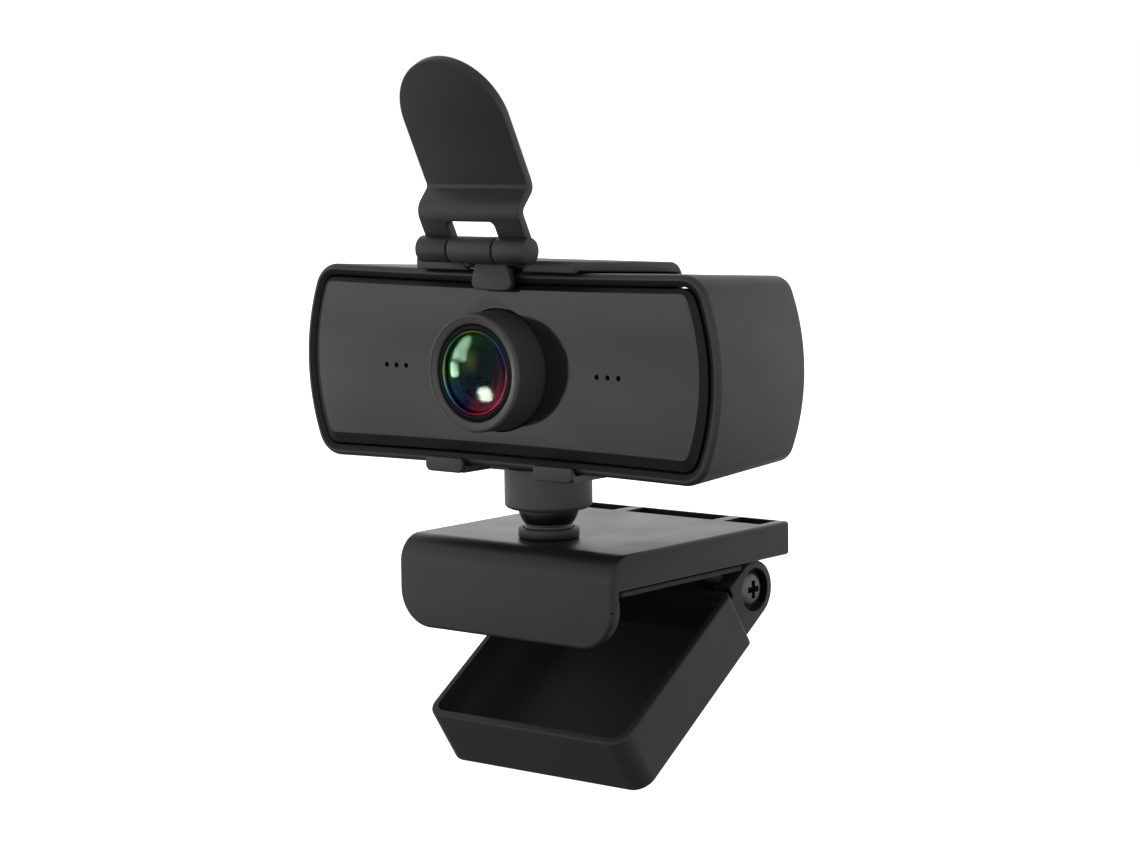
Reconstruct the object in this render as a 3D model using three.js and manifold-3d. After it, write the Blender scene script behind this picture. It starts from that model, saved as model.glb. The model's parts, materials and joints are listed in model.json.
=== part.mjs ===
// Clip-on computer camera: a wide camera head with a flip-up lens cover, on a ball
// joint that stands on a folding monitor clip.
// Units are millimetres, +Z is up, +X is to the right and the lens looks along -Y.
// The origin is on the underside of the clip's rest pad, under the ball joint.
import * as THREE from 'three';
import { mergeVertices } from 'three/addons/utils/BufferGeometryUtils.js';
import Module from 'manifold-3d';

const wasm = await Module();
wasm.setup();

// ---------------------------------------------------------------- driving dimensions
const GAP = 0.3; // clearance kept between neighbouring pieces
const FINE = 32; // segments round the lens
const COARSE = 12; // segments round pins and screws

// clip
const CLIP_HALF_WIDTH = 20.9;
const PLATE_TOP = 6.3;
const PLATE_SIDE_BOTTOM = 0.95;
const PLATE_THICKNESS = 2.0;
const PLATE_FRONT = -11.3;
const PLATE_REAR = 34.5;
const SIDE_WALL = 1.4;
const LIP_THICKNESS = 2.2;
const LIP_BOTTOM = -7.8;
const LIP_TOP_RADIUS = 4.2;
const LIP_CORNER_RADIUS = 5.8;
const PAD_REAR = 22.6;
const PAD_HALF_WIDTH = 20.5;
const LIP_PAD_HALF_WIDTH = 20.3;
const LIP_PAD_THICKNESS = 0.8;
const SLOTS_X = [[-19.2, -10.0], [-7.6, 10.0], [12.2, 19.2]];
const SLOT_FRONT = 28.6;
const BAY_WALL_REAR = 23.0; // a wall 1 mm thick parts the two bays under the plate
const REAR_WALL = 1.0;
const LUG_INNER = 11.6;
const LUG_OUTER = 14.9;
const LUG_RADIUS = 3.7;
const BRIDGE_BOTTOM = -5.6;
const STUD_BORE = 2.3;
const SCREW_SHANK = 1.45;
const SCREW_HEAD = 2.75;
const WASHER_RADIUS = 3.4;
const WASHER_THICKNESS = 0.4;

// folding leg, in its own frame: +Y towards the pivot, +Z out of the recess
const PIVOT_Y = 28.1;
const PIVOT_Z = -4.05;
const LEG_ANGLE = THREE.MathUtils.degToRad(34.1);
const LEG_HALF_WIDTH = 19.7;
const LEG_END = -39.8;
const LEG_TOP_END = -5.65;
const LEG_FRONT = 4.8;
const LEG_BACK = -5.3;
const LEG_WALL = 1.2;
const LEG_CORNER_RADIUS = 3.0;
const LEG_FLOOR = 1.4;
const SCREW_SEAT = 3.45; // radius of the round seat the screw head sinks into
const EAR_OUTER = 18.6;
const EAR_INNER = 15.6;
const EAR_RADIUS = 4.6;

// ball joint
const BALL_Z = 11.5;
const BALL_RADIUS = 4.75;
const LINER_INNER = 4.85;
const LINER_OUTER = 5.3;
const CUP_RADIUS = 6.75;
const CUP_CAVITY = 5.42;
const CUP_BOTTOM = -0.74; // below the ball centre
const CUP_TOP = 17.2;
const COLLAR_RADIUS = 4.7;
const COLLAR_TOP = 7.85;
const STEM_RADIUS = 3.8;

// camera head
const HEAD_Z = 32.85;
const HEAD_HALF_WIDTH = 40.5;
const HEAD_HALF_HEIGHT = 14.8; // at the middle of the slightly hollow top edge
const HEAD_FRONT = -10.9;
const HEAD_REAR = 12.7;
const HEAD_TAPER = 1.35; // how far the rear outline lies inside the front outline
const END_RADIUS = 34;
const CORNER_RADIUS = 4.6;
const HOLLOW_RADIUS = 1700;
const SHELL_WALL = 1.8;
const PANEL_FRONT = -11.25;
const PANEL_BACK = -9.6;
const MIC_X = 20.7;
const MIC_PITCH = 2.0;
const MIC_HOLE_RADIUS = 0.4;

// lens
const BARREL_RADIUS = 8.85;
const BARREL_FRONT = -17.25;
const BARREL_BASE_RADIUS = 9.0;

// lens cover and its hinge
const HINGE_Y = -15.9;
const HINGE_Z = 51.0;
const HINGE_RADIUS = 2.0;
const HINGE_PIN_RADIUS = 0.7;
const HINGE_HALF_LENGTH = 10.45;
const CENTRE_KNUCKLE_HALF = 4.25;
const COVER_LEAN = THREE.MathUtils.degToRad(26.75);
const COVER_HALF_WIDTH = 9.76;
const COVER_LENGTH = 28.8;
const COVER_THICKNESS = 1.5;
const COVER_LOW_FACE = 0.5; // front face of the lower part, behind the hinge axis
const COVER_HIGH_FACE = 4.4; // front face of the upper part, behind the hinge axis
const BEND_LOW = 6.5;
const BEND_HIGH = 8.2;
const WINDOW_TOP = 4.35;

// corners of the head as signs of X and Z, and the screw places in them
const CORNERS = [[-1, -1], [1, -1], [-1, 1], [1, 1]];
const CLAMP_X = 32.6;
const CLAMP_DZ = 7.0;
const BOARD_FIX_X = 26;
const BOARD_FIX_DZ = 7.5;

// brackets
const TOP_BRACKET_HALF = 15.5;
const BRACKET_FRONT = -12.05;
const BRACKET_REAR = 14.25;
const HOOK_INNER_X = 6.95;
const HOOK_OUTER_X = 14.4;

// ---------------------------------------------------------------- materials
const plastic = (color, roughness) => new THREE.MeshStandardMaterial({ color, roughness, metalness: 0 });
const metal = (color, roughness) => new THREE.MeshStandardMaterial({ color, roughness, metalness: 1 });
const SHELL = plastic(0x35363a, 0.55);
const DARK = plastic(0x232427, 0.5);
const PANEL = plastic(0x333436, 0.42);
const BLACK = plastic(0x0d0d0e, 0.35);
const RUBBER = plastic(0x1b1b1c, 0.9);
const GLASS = new THREE.MeshStandardMaterial({
  color: 0x1d2a3a,
  roughness: 0.05,
  metalness: 0,
  transparent: true,
  opacity: 0.5,
});
const BOARD = plastic(0x0f3d24, 0.6);
const CHIP = plastic(0x18181a, 0.4);
const STEEL = metal(0x8d8f92, 0.35);
const BLACK_STEEL = metal(0x3a3b3d, 0.45);

// ---------------------------------------------------------------- solid helpers
function bare(geometry) {
  const copy = geometry.clone();
  copy.deleteAttribute('normal');
  copy.deleteAttribute('uv');
  const merged = mergeVertices(copy, 1e-4);
  const kept = [];
  const index = merged.index.array;
  for (let k = 0; k < index.length; k += 3) {
    const [a, b, c] = index.slice(k, k + 3);
    if (a !== b && b !== c && c !== a) kept.push(a, b, c);
  }
  merged.setIndex(kept);
  return merged;
}

function toSolid(geometry) {
  const merged = bare(geometry);
  return new wasm.Manifold(new wasm.Mesh({
    numProp: 3,
    vertProperties: new Float32Array(merged.attributes.position.array),
    triVerts: new Uint32Array(merged.index.array),
  }));
}

function toGeometry(solid) {
  const mesh = solid.getMesh();
  const geometry = new THREE.BufferGeometry();
  geometry.setAttribute('position', new THREE.BufferAttribute(mesh.vertProperties, 3));
  geometry.setIndex(new THREE.BufferAttribute(mesh.triVerts, 1));
  return geometry;
}

const join = (...parts) => toGeometry(parts.map(toSolid).reduce((a, b) => a.add(b)));
const cut = (first, ...tools) =>
  toGeometry(tools.map(toSolid).reduce((a, b) => a.subtract(b), toSolid(first)));
const common = (a, b) => toGeometry(toSolid(a).intersect(toSolid(b)));

// ---------------------------------------------------------------- shape helpers
// A prism whose section is drawn in (Y, Z) and runs along X.
function prismX(shape, x0, x1, curveSegments = 6) {
  const depth = x1 - x0;
  const geometry = new THREE.ExtrudeGeometry(shape, { depth, bevelEnabled: false, curveSegments });
  const axes = new THREE.Matrix4().makeBasis(
    new THREE.Vector3(0, 1, 0),
    new THREE.Vector3(0, 0, 1),
    new THREE.Vector3(1, 0, 0),
  );
  return geometry.applyMatrix4(axes).translate(x0, 0, 0);
}

// A prism whose section is drawn in (X, Z) and runs along Y.
function prismY(shape, y0, y1, curveSegments = 6) {
  const depth = y1 - y0;
  const geometry = new THREE.ExtrudeGeometry(shape, { depth, bevelEnabled: false, curveSegments });
  const axes = new THREE.Matrix4().makeBasis(
    new THREE.Vector3(1, 0, 0),
    new THREE.Vector3(0, 0, 1),
    new THREE.Vector3(0, -1, 0),
  );
  return geometry.applyMatrix4(axes).translate(0, y1, 0);
}

// A prism whose section is drawn in (X, Y) and runs along Z.
function prismZ(shape, z0, z1, curveSegments = 6) {
  return new THREE.ExtrudeGeometry(shape, { depth: z1 - z0, bevelEnabled: false, curveSegments })
    .translate(0, 0, z0);
}

function box(x0, x1, y0, y1, z0, z1) {
  return new THREE.BoxGeometry(x1 - x0, y1 - y0, z1 - z0)
    .translate((x0 + x1) / 2, (y0 + y1) / 2, (z0 + z1) / 2);
}

function rodX(radius, x0, x1, y, z, segments = COARSE) {
  return new THREE.CylinderGeometry(radius, radius, x1 - x0, segments)
    .rotateZ(Math.PI / 2)
    .translate((x0 + x1) / 2, y, z);
}

function rodY(radius, y0, y1, x, z, segments = COARSE) {
  return new THREE.CylinderGeometry(radius, radius, y1 - y0, segments).translate(x, (y0 + y1) / 2, z);
}

function rodZ(radius, z0, z1, x, y, segments = COARSE) {
  return new THREE.CylinderGeometry(radius, radius, z1 - z0, segments)
    .rotateX(Math.PI / 2)
    .translate(x, y, (z0 + z1) / 2);
}

// Turned pieces. Points are [radius, position along the axis].
const points2 = (pairs) => pairs.map(([a, b]) => new THREE.Vector2(a, b));

// Points of an arc about the origin, with its angles in degrees.
function arcPairs(radius, from, to, steps) {
  return Array.from({ length: steps + 1 }, (_, k) => {
    const angle = THREE.MathUtils.degToRad(THREE.MathUtils.lerp(from, to, k / steps));
    return [radius * Math.cos(angle), radius * Math.sin(angle)];
  });
}

function facingOut(geometry) {
  const merged = bare(geometry);
  const at = merged.attributes.position;
  const index = merged.index.array;
  const corner = (k) => new THREE.Vector3().fromBufferAttribute(at, index[k]);
  let volume = 0;
  for (let k = 0; k < index.length; k += 3) {
    volume += corner(k).dot(corner(k + 1).cross(corner(k + 2)));
  }
  if (volume < 0) {
    for (let k = 0; k < index.length; k += 3) {
      [index[k], index[k + 1]] = [index[k + 1], index[k]];
    }
  }
  return merged;
}

function turnedY(pairs, segments = FINE) {
  return facingOut(new THREE.LatheGeometry(points2(pairs), segments));
}

function turnedZ(pairs, segments = FINE) {
  return facingOut(new THREE.LatheGeometry(points2(pairs), segments).rotateX(Math.PI / 2));
}

function polygon(pairs) {
  return new THREE.Shape(points2(pairs));
}

// A rectangle with its own radius at each corner: lower left, lower right, upper right, upper left.
function roundedRectangle(x0, x1, y0, y1, [a, b, c, d]) {
  const shape = new THREE.Shape();
  shape.moveTo(x0 + a, y0);
  shape.lineTo(x1 - b, y0);
  if (b > 0) shape.absarc(x1 - b, y0 + b, b, -Math.PI / 2, 0, false);
  shape.lineTo(x1, y1 - c);
  if (c > 0) shape.absarc(x1 - c, y1 - c, c, 0, Math.PI / 2, false);
  shape.lineTo(x0 + d, y1);
  if (d > 0) shape.absarc(x0 + d, y1 - d, d, Math.PI / 2, Math.PI, false);
  shape.lineTo(x0, y0 + a);
  if (a > 0) shape.absarc(x0 + a, y0 + a, a, Math.PI, Math.PI * 1.5, false);
  return shape;
}

// ---------------------------------------------------------------- head outline
// The camera head seen from the front: bulged ends, round corners, and top and bottom
// edges that are very slightly hollow. `inset` moves the whole outline inwards, `rise` upwards.
function headOutline(inset, rise = 0) {
  const endCentre = HEAD_HALF_WIDTH - END_RADIUS;
  const reach = END_RADIUS - CORNER_RADIUS;
  const hollowZ = HEAD_HALF_HEIGHT + HOLLOW_RADIUS;
  // the corner circle touches the end circle from inside and the hollow circle from outside
  const p = 2 * endCentre * reach;
  const q = -2 * reach * hollowZ;
  const r = (HOLLOW_RADIUS + CORNER_RADIUS) ** 2 - hollowZ ** 2 - endCentre ** 2 - reach ** 2;
  const endAngle = Math.atan2(q, p) + Math.acos(r / Math.hypot(p, q));
  const corner = new THREE.Vector2(endCentre + reach * Math.cos(endAngle), reach * Math.sin(endAngle));
  const topAngle = Math.atan2(hollowZ - corner.y, -corner.x);
  const quarter = [];
  const endSteps = 4;
  for (let k = 0; k < endSteps; k += 1) {
    const angle = (endAngle * k) / endSteps;
    const radius = END_RADIUS - inset;
    quarter.push([endCentre + radius * Math.cos(angle), radius * Math.sin(angle)]);
  }
  const cornerSteps = 4;
  for (let k = 0; k < cornerSteps; k += 1) {
    const angle = endAngle + ((topAngle - endAngle) * k) / cornerSteps;
    const radius = CORNER_RADIUS - inset;
    quarter.push([corner.x + radius * Math.cos(angle), corner.y + radius * Math.sin(angle)]);
  }
  const topSteps = 2;
  const topRadius = HOLLOW_RADIUS + inset;
  for (let k = 0; k < topSteps; k += 1) {
    const angle = THREE.MathUtils.lerp(topAngle - Math.PI, -Math.PI / 2, k / topSteps);
    quarter.push([topRadius * Math.cos(angle), hollowZ + topRadius * Math.sin(angle)]);
  }
  quarter.push([0, HEAD_HALF_HEIGHT - inset]);
  const upper = [...quarter, ...quarter.slice(0, -1).reverse().map(([x, z]) => [-x, z])];
  const lower = upper.slice(1, -1).reverse().map(([x, z]) => [x, -z]);
  return [...upper, ...lower].map(([x, z]) => [x, z + rise]);
}

// Skin through rings of the head outline. Each ring is [y, inset, rise]. The skin either
// closes on itself, like a tube with a thick wall, or ends in two flat caps.
function headLoft(rings, closed) {
  const loops = rings.map(([y, inset, rise]) => (
    headOutline(inset, rise).map(([x, z]) => [x, y, HEAD_Z + z])
  ));
  const count = loops[0].length;
  const positions = loops.flat(2);
  const index = [];
  const spans = closed ? loops.length : loops.length - 1;
  for (let s = 0; s < spans; s += 1) {
    const here = s * count;
    const next = ((s + 1) % loops.length) * count;
    for (let k = 0; k < count; k += 1) {
      const after = (k + 1) % count;
      index.push(here + k, here + after, next + after, here + k, next + after, next + k);
    }
  }
  if (!closed) {
    [0, loops.length - 1].forEach((s) => {
      const centre = positions.length / 3;
      positions.push(0, rings[s][0], HEAD_Z);
      for (let k = 0; k < count; k += 1) {
        const a = s * count + k;
        const b = s * count + ((k + 1) % count);
        if (s === 0) index.push(centre, b, a);
        else index.push(centre, a, b);
      }
    });
  }
  const geometry = new THREE.BufferGeometry();
  geometry.setAttribute('position', new THREE.Float32BufferAttribute(positions, 3));
  geometry.setIndex(index);
  return facingOut(geometry);
}

// How far the shell has drawn in at depth y.
const taper = (y) => (HEAD_TAPER * (y - HEAD_FRONT)) / (HEAD_REAR - HEAD_FRONT);

// ---------------------------------------------------------------- scene graph
const model = new THREE.Group();
const leg = new THREE.Group();
leg.position.set(0, PIVOT_Y, PIVOT_Z);
leg.rotation.x = LEG_ANGLE;
const cover = new THREE.Group();
cover.position.set(0, HINGE_Y, HINGE_Z);
cover.rotation.x = COVER_LEAN;
const lensAxis = new THREE.Group();
lensAxis.position.z = HEAD_Z;
const ballJoint = new THREE.Group();
ballJoint.position.z = BALL_Z;
model.add(leg, cover, lensAxis, ballJoint);

function place(name, geometry, material, parent = model) {
  const mesh = new THREE.Mesh(geometry, material.clone());
  mesh.name = name;
  parent.add(mesh);
  return mesh;
}

// ---------------------------------------------------------------- clip
function clipPlate() {
  const profile = new THREE.Shape();
  profile.moveTo(PLATE_FRONT, LIP_BOTTOM);
  profile.lineTo(PLATE_FRONT + LIP_THICKNESS, LIP_BOTTOM);
  profile.lineTo(PLATE_FRONT + LIP_THICKNESS, PLATE_SIDE_BOTTOM);
  profile.lineTo(PLATE_REAR, PLATE_SIDE_BOTTOM);
  profile.lineTo(PLATE_REAR, PLATE_TOP - 0.5);
  profile.lineTo(PLATE_REAR - 0.5, PLATE_TOP);
  profile.lineTo(PLATE_FRONT + LIP_TOP_RADIUS, PLATE_TOP);
  profile.absarc(
    PLATE_FRONT + LIP_TOP_RADIUS,
    PLATE_TOP - LIP_TOP_RADIUS,
    LIP_TOP_RADIUS,
    Math.PI / 2,
    Math.PI,
    false,
  );
  const slab = prismX(profile, -CLIP_HALF_WIDTH, CLIP_HALF_WIDTH, 8);
  const front = roundedRectangle(
    -CLIP_HALF_WIDTH,
    CLIP_HALF_WIDTH,
    LIP_BOTTOM,
    PLATE_TOP,
    [LIP_CORNER_RADIUS, LIP_CORNER_RADIUS, 0.6, 0.6],
  );
  const envelope = prismY(front, PLATE_FRONT - 1, PLATE_REAR + 1, 8);
  const halfCavity = CLIP_HALF_WIDTH - SIDE_WALL;
  const ceiling = PLATE_TOP - PLATE_THICKNESS;
  const frontBay = box(-halfCavity, halfCavity, PLATE_FRONT + 3.4, BAY_WALL_REAR - 1, 0, ceiling);
  const rearBay = box(-halfCavity, halfCavity, BAY_WALL_REAR, PLATE_REAR - REAR_WALL, 0, ceiling);
  const slots = SLOTS_X.map(([x0, x1]) => {
    return box(x0, x1, SLOT_FRONT, PLATE_REAR - REAR_WALL, ceiling - 1, PLATE_TOP + 1);
  });
  const bore = rodZ(STUD_BORE, 0, PLATE_TOP + 1, 0, 0, 20);
  const shell = cut(common(slab, envelope), frontBay, rearBay, ...slots, bore);
  const lugs = [-1, 1].map((side) => {
    const x0 = side > 0 ? LUG_INNER : -LUG_OUTER;
    const x1 = side > 0 ? LUG_OUTER : -LUG_INNER;
    const web = polygon([
      [PIVOT_Y - LUG_RADIUS, PIVOT_Z],
      [PIVOT_Y + LUG_RADIUS, PIVOT_Z],
      [PIVOT_Y + LUG_RADIUS, ceiling + 0.5],
      [PIVOT_Y - LUG_RADIUS, ceiling + 0.5],
    ]);
    const lug = join(prismX(web, x0, x1), rodX(LUG_RADIUS, x0, x1, PIVOT_Y, PIVOT_Z));
    return cut(lug, rodX(SCREW_SHANK + 0.05, x0 - 1, x1 + 1, PIVOT_Y, PIVOT_Z));
  });
  // a bridge under the plate ties the lugs together and hides the screws
  const bridgeFront = PIVOT_Y - LUG_RADIUS;
  const bridge = prismX(polygon([
    [bridgeFront + 2.4, BRIDGE_BOTTOM],
    [bridgeFront + 3.6, BRIDGE_BOTTOM],
    [bridgeFront + 1.4, 0.9],
    [bridgeFront, 0.9],
  ]), -LUG_INNER - 0.1, LUG_INNER + 0.1);
  return join(shell, ...lugs, bridge);
}

// Pan head screw with a cross recess, its axis along Z and the head upwards from z = 0.
function panScrew(headRadius, headHeight, shankRadius, length) {
  const body = turnedZ([
    [0, -length],
    [shankRadius, -length],
    [shankRadius, 0],
    [headRadius, 0],
    [headRadius, headHeight * 0.5],
    [headRadius * 0.7, headHeight],
    [0, headHeight],
  ], COARSE);
  const arm = headRadius * 0.5;
  const half = headRadius * 0.13;
  const depth = headHeight * 0.45;
  return cut(
    body,
    box(-arm, arm, -half, half, headHeight - depth, headHeight + 1),
    box(-half, half, -arm, arm, headHeight - depth, headHeight + 1),
  );
}

place('clip_plate', clipPlate(), DARK);
const LIP_BACK = PLATE_FRONT + LIP_THICKNESS;
// the rest pad starts clear behind the pad on the lip
const PAD_FRONT = LIP_BACK + LIP_PAD_THICKNESS + 0.15;
place('rest_pad', prismZ(
  roundedRectangle(-PAD_HALF_WIDTH, PAD_HALF_WIDTH, PAD_FRONT, PAD_REAR, [0.4, 0.4, 1, 1]),
  0,
  PLATE_SIDE_BOTTOM - 0.2,
  3,
), RUBBER);
place('lip_pad', prismY(
  roundedRectangle(-LIP_PAD_HALF_WIDTH, LIP_PAD_HALF_WIDTH, LIP_BOTTOM + 0.6, -0.4, [5.2, 5.2, 0.5, 0.5]),
  LIP_BACK + 0.02,
  LIP_BACK + LIP_PAD_THICKNESS,
  4,
), RUBBER);

[['right', 1], ['left', -1]].forEach(([side, sign]) => {
  const headSeat = EAR_OUTER - 1.5;
  const screw = place(
    `${side}_pivot_screw`,
    panScrew(SCREW_HEAD, 1.25, SCREW_SHANK, headSeat - LUG_INNER - 0.2),
    STEEL,
  );
  screw.rotation.y = (sign * Math.PI) / 2;
  screw.position.set(sign * headSeat, PIVOT_Y, PIVOT_Z);
  const ring = turnedZ([
    [SCREW_SHANK + 0.15, 0],
    [WASHER_RADIUS, 0],
    [WASHER_RADIUS, WASHER_THICKNESS],
    [SCREW_SHANK + 0.15, WASHER_THICKNESS],
    [SCREW_SHANK + 0.15, 0],
  ], COARSE);
  const washer = place(`${side}_friction_washer`, ring, STEEL);
  washer.rotation.y = (sign * Math.PI) / 2;
  washer.position.set(sign * (LUG_OUTER + 0.1), PIVOT_Y, PIVOT_Z);
});

place('swivel_collar', turnedZ([
  [2.75, PLATE_TOP + 0.02],
  [COLLAR_RADIUS - 0.5, PLATE_TOP + 0.02],
  [COLLAR_RADIUS, PLATE_TOP + 0.25],
  [COLLAR_RADIUS, COLLAR_TOP],
  [COLLAR_RADIUS - 0.25, COLLAR_TOP + 0.05],
  [STEM_RADIUS + 0.2, COLLAR_TOP + 0.05],
  [STEM_RADIUS + 0.2, PLATE_TOP + 0.45],
  [2.75, PLATE_TOP + 0.45],
  [2.75, PLATE_TOP + 0.02],
], 24), DARK);

// ---------------------------------------------------------------- folding leg
function legBody() {
  const plan = new THREE.Shape();
  const r = LEG_CORNER_RADIUS;
  const bevel = LEG_HALF_WIDTH - EAR_OUTER;
  plan.moveTo(-LEG_HALF_WIDTH + r, LEG_END);
  plan.lineTo(LEG_HALF_WIDTH - r, LEG_END);
  plan.absarc(LEG_HALF_WIDTH - r, LEG_END + r, r, -Math.PI / 2, 0, false);
  plan.lineTo(LEG_HALF_WIDTH, LEG_TOP_END - bevel);
  plan.lineTo(EAR_OUTER, LEG_TOP_END);
  plan.lineTo(-EAR_OUTER, LEG_TOP_END);
  plan.lineTo(-LEG_HALF_WIDTH, LEG_TOP_END - bevel);
  plan.lineTo(-LEG_HALF_WIDTH, LEG_END + r);
  plan.absarc(-LEG_HALF_WIDTH + r, LEG_END + r, r, Math.PI, Math.PI * 1.5, false);
  const block = prismZ(plan, LEG_BACK, LEG_FRONT, 6);
  const w = LEG_HALF_WIDTH - LEG_WALL;
  const rim = LEG_CORNER_RADIUS - LEG_WALL;
  const recess = prismZ(
    roundedRectangle(-w, w, LEG_END + LEG_WALL, LEG_TOP_END - LEG_WALL, [rim, rim, 1, 1]),
    LEG_BACK + LEG_FLOOR,
    LEG_FRONT + 1,
    5,
  );
  const ears = [-1, 1].map((sign) => {
    const x0 = sign > 0 ? EAR_INNER : -EAR_OUTER;
    const x1 = sign > 0 ? EAR_OUTER : -EAR_INNER;
    const strap = new THREE.Shape();
    strap.moveTo(LEG_TOP_END - 1.5, -EAR_RADIUS);
    strap.lineTo(0, -EAR_RADIUS);
    strap.absarc(0, 0, EAR_RADIUS, -Math.PI / 2, Math.PI / 2, false);
    strap.lineTo(LEG_TOP_END + 0.75, EAR_RADIUS);
    strap.lineTo(LEG_TOP_END + 0.75, 3.0);
    strap.lineTo(LEG_TOP_END - 1.5, 3.0);
    return prismX(strap, x0, x1, 14);
  });
  const holes = [-1, 1].flatMap((sign) => {
    const seat = sign * (EAR_OUTER - 1.6);
    const outside = sign * (EAR_OUTER + 1);
    const inside = sign * (EAR_INNER - 1);
    return [
      rodX(SCREW_SEAT, Math.min(seat, outside), Math.max(seat, outside), 0, 0, 24),
      rodX(SCREW_SHANK + 0.15, Math.min(inside, outside), Math.max(inside, outside), 0, 0),
    ];
  });
  return cut(join(cut(block, recess), ...ears), ...holes);
}
place('folding_leg', legBody(), DARK, leg);

// ---------------------------------------------------------------- ball joint
// Heights here are measured from the ball's centre.
const SPINDLE_RADIUS = 2.1;
const SPINDLE_END = -7.4;
const STEM_BOTTOM = -4.65;
const STEM_TOP = -3.1;
const NECK_ANGLE = -39;
const LINER_BOTTOM = 0.7;
const LIP_LEDGE = -0.38; // top of the cup's lip, which keeps the liner in
const LIP_SPHERE = 4.87;
const CUP_ROUND = 20;

const ballStud = turnedZ([
  [0, SPINDLE_END],
  [SPINDLE_RADIUS, SPINDLE_END],
  [SPINDLE_RADIUS, STEM_BOTTOM],
  [STEM_RADIUS, STEM_BOTTOM],
  [STEM_RADIUS, STEM_TOP],
  ...arcPairs(BALL_RADIUS, NECK_ANGLE, 90, 7),
], CUP_ROUND);
place('ball_stud', cut(ballStud, rodZ(1.3, -8, -3, 0, 0, 14)), BLACK, ballJoint);

place('stud_washer', turnedZ([
  [1.5, -7.95],
  [3.9, -7.95],
  [3.9, -7.5],
  [1.5, -7.5],
  [1.5, -7.95],
], COARSE), STEEL, ballJoint);

const studScrew = place('stud_screw', panScrew(2.4, 1.1, 1.2, 4.6), STEEL, ballJoint);
studScrew.rotation.x = Math.PI;
studScrew.position.z = -8.0;

// The liner is a cap of two spheres about the ball's centre.
const capAngle = (radius) => THREE.MathUtils.radToDeg(Math.asin(LINER_BOTTOM / radius));
place('socket_liner', turnedZ([
  ...arcPairs(LINER_OUTER, 90, capAngle(LINER_OUTER), 5),
  ...arcPairs(LINER_INNER, capAngle(LINER_INNER), 90, 5),
], CUP_ROUND), RUBBER, ballJoint);

// ---------------------------------------------------------------- lower bracket
const ARM_TOP = 17.85;
const ARM_BOTTOM = 16.9;
const HOOK_TOP = 19.15;
const HOOK_BACK = -11.05;
const REAR_HOOK_FRONT = 13.15;

function lowerBracket() {
  const top = CUP_TOP - BALL_Z;
  const cup = turnedZ([
    [0, top],
    [CUP_RADIUS, top],
    [CUP_RADIUS, 0.1],
    [6.6, -0.25],
    [6.2, -0.52],
    [5.6, -0.7],
    [5.1, CUP_BOTTOM],
    [0, CUP_BOTTOM],
  ], CUP_ROUND);
  const lipAngle = (z) => THREE.MathUtils.radToDeg(Math.asin(z / LIP_SPHERE));
  const ledgeAngle = THREE.MathUtils.radToDeg(Math.asin(LIP_LEDGE / CUP_CAVITY));
  const cavity = turnedZ([
    ...arcPairs(CUP_CAVITY, 90, ledgeAngle, 6),
    ...arcPairs(LIP_SPHERE, lipAngle(LIP_LEDGE), lipAngle(CUP_BOTTOM - 0.3), 2),
    [0, CUP_BOTTOM - 0.3],
  ], CUP_ROUND);
  const plate = box(-HOOK_OUTER_X, HOOK_OUTER_X, -5.5, 6, ARM_BOTTOM, ARM_TOP);
  const sides = [-1, 1].flatMap((sign) => {
    const x0 = sign > 0 ? HOOK_INNER_X : -HOOK_OUTER_X;
    const x1 = sign > 0 ? HOOK_OUTER_X : -HOOK_INNER_X;
    const hook = roundedRectangle(x0, x1, ARM_BOTTOM - 0.05, HOOK_TOP, [0.9, 0.9, 0.4, 0.4]);
    return [
      prismY(hook, BRACKET_FRONT, HOOK_BACK, 4),
      box(x0 + 0.05, x1 - 0.05, BRACKET_FRONT + 0.6, BRACKET_REAR - 0.4, ARM_BOTTOM, ARM_TOP),
      box(x0 + 0.05, x1 - 0.05, REAR_HOOK_FRONT, BRACKET_REAR, ARM_BOTTOM, HOOK_TOP),
    ];
  });
  const body = join(cup.translate(0, 0, BALL_Z), plate, ...sides);
  return cut(body, cavity.translate(0, 0, BALL_Z));
}
place('lower_bracket', lowerBracket(), DARK);

// ---------------------------------------------------------------- top bracket and cover
const TOP_FACE_FRONT = 49.42;
const TOP_FACE_REAR = 48.27;
const REAR_ROUND = 3.0;
const REAR_HOOK_BOTTOM = 42.3;
const ARM_HALF = 3.9;
const TAB_HALF = 4.31;
const TAB_TOP_HALF = 3.0;
const TAB_BOTTOM = 44.83;

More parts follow.
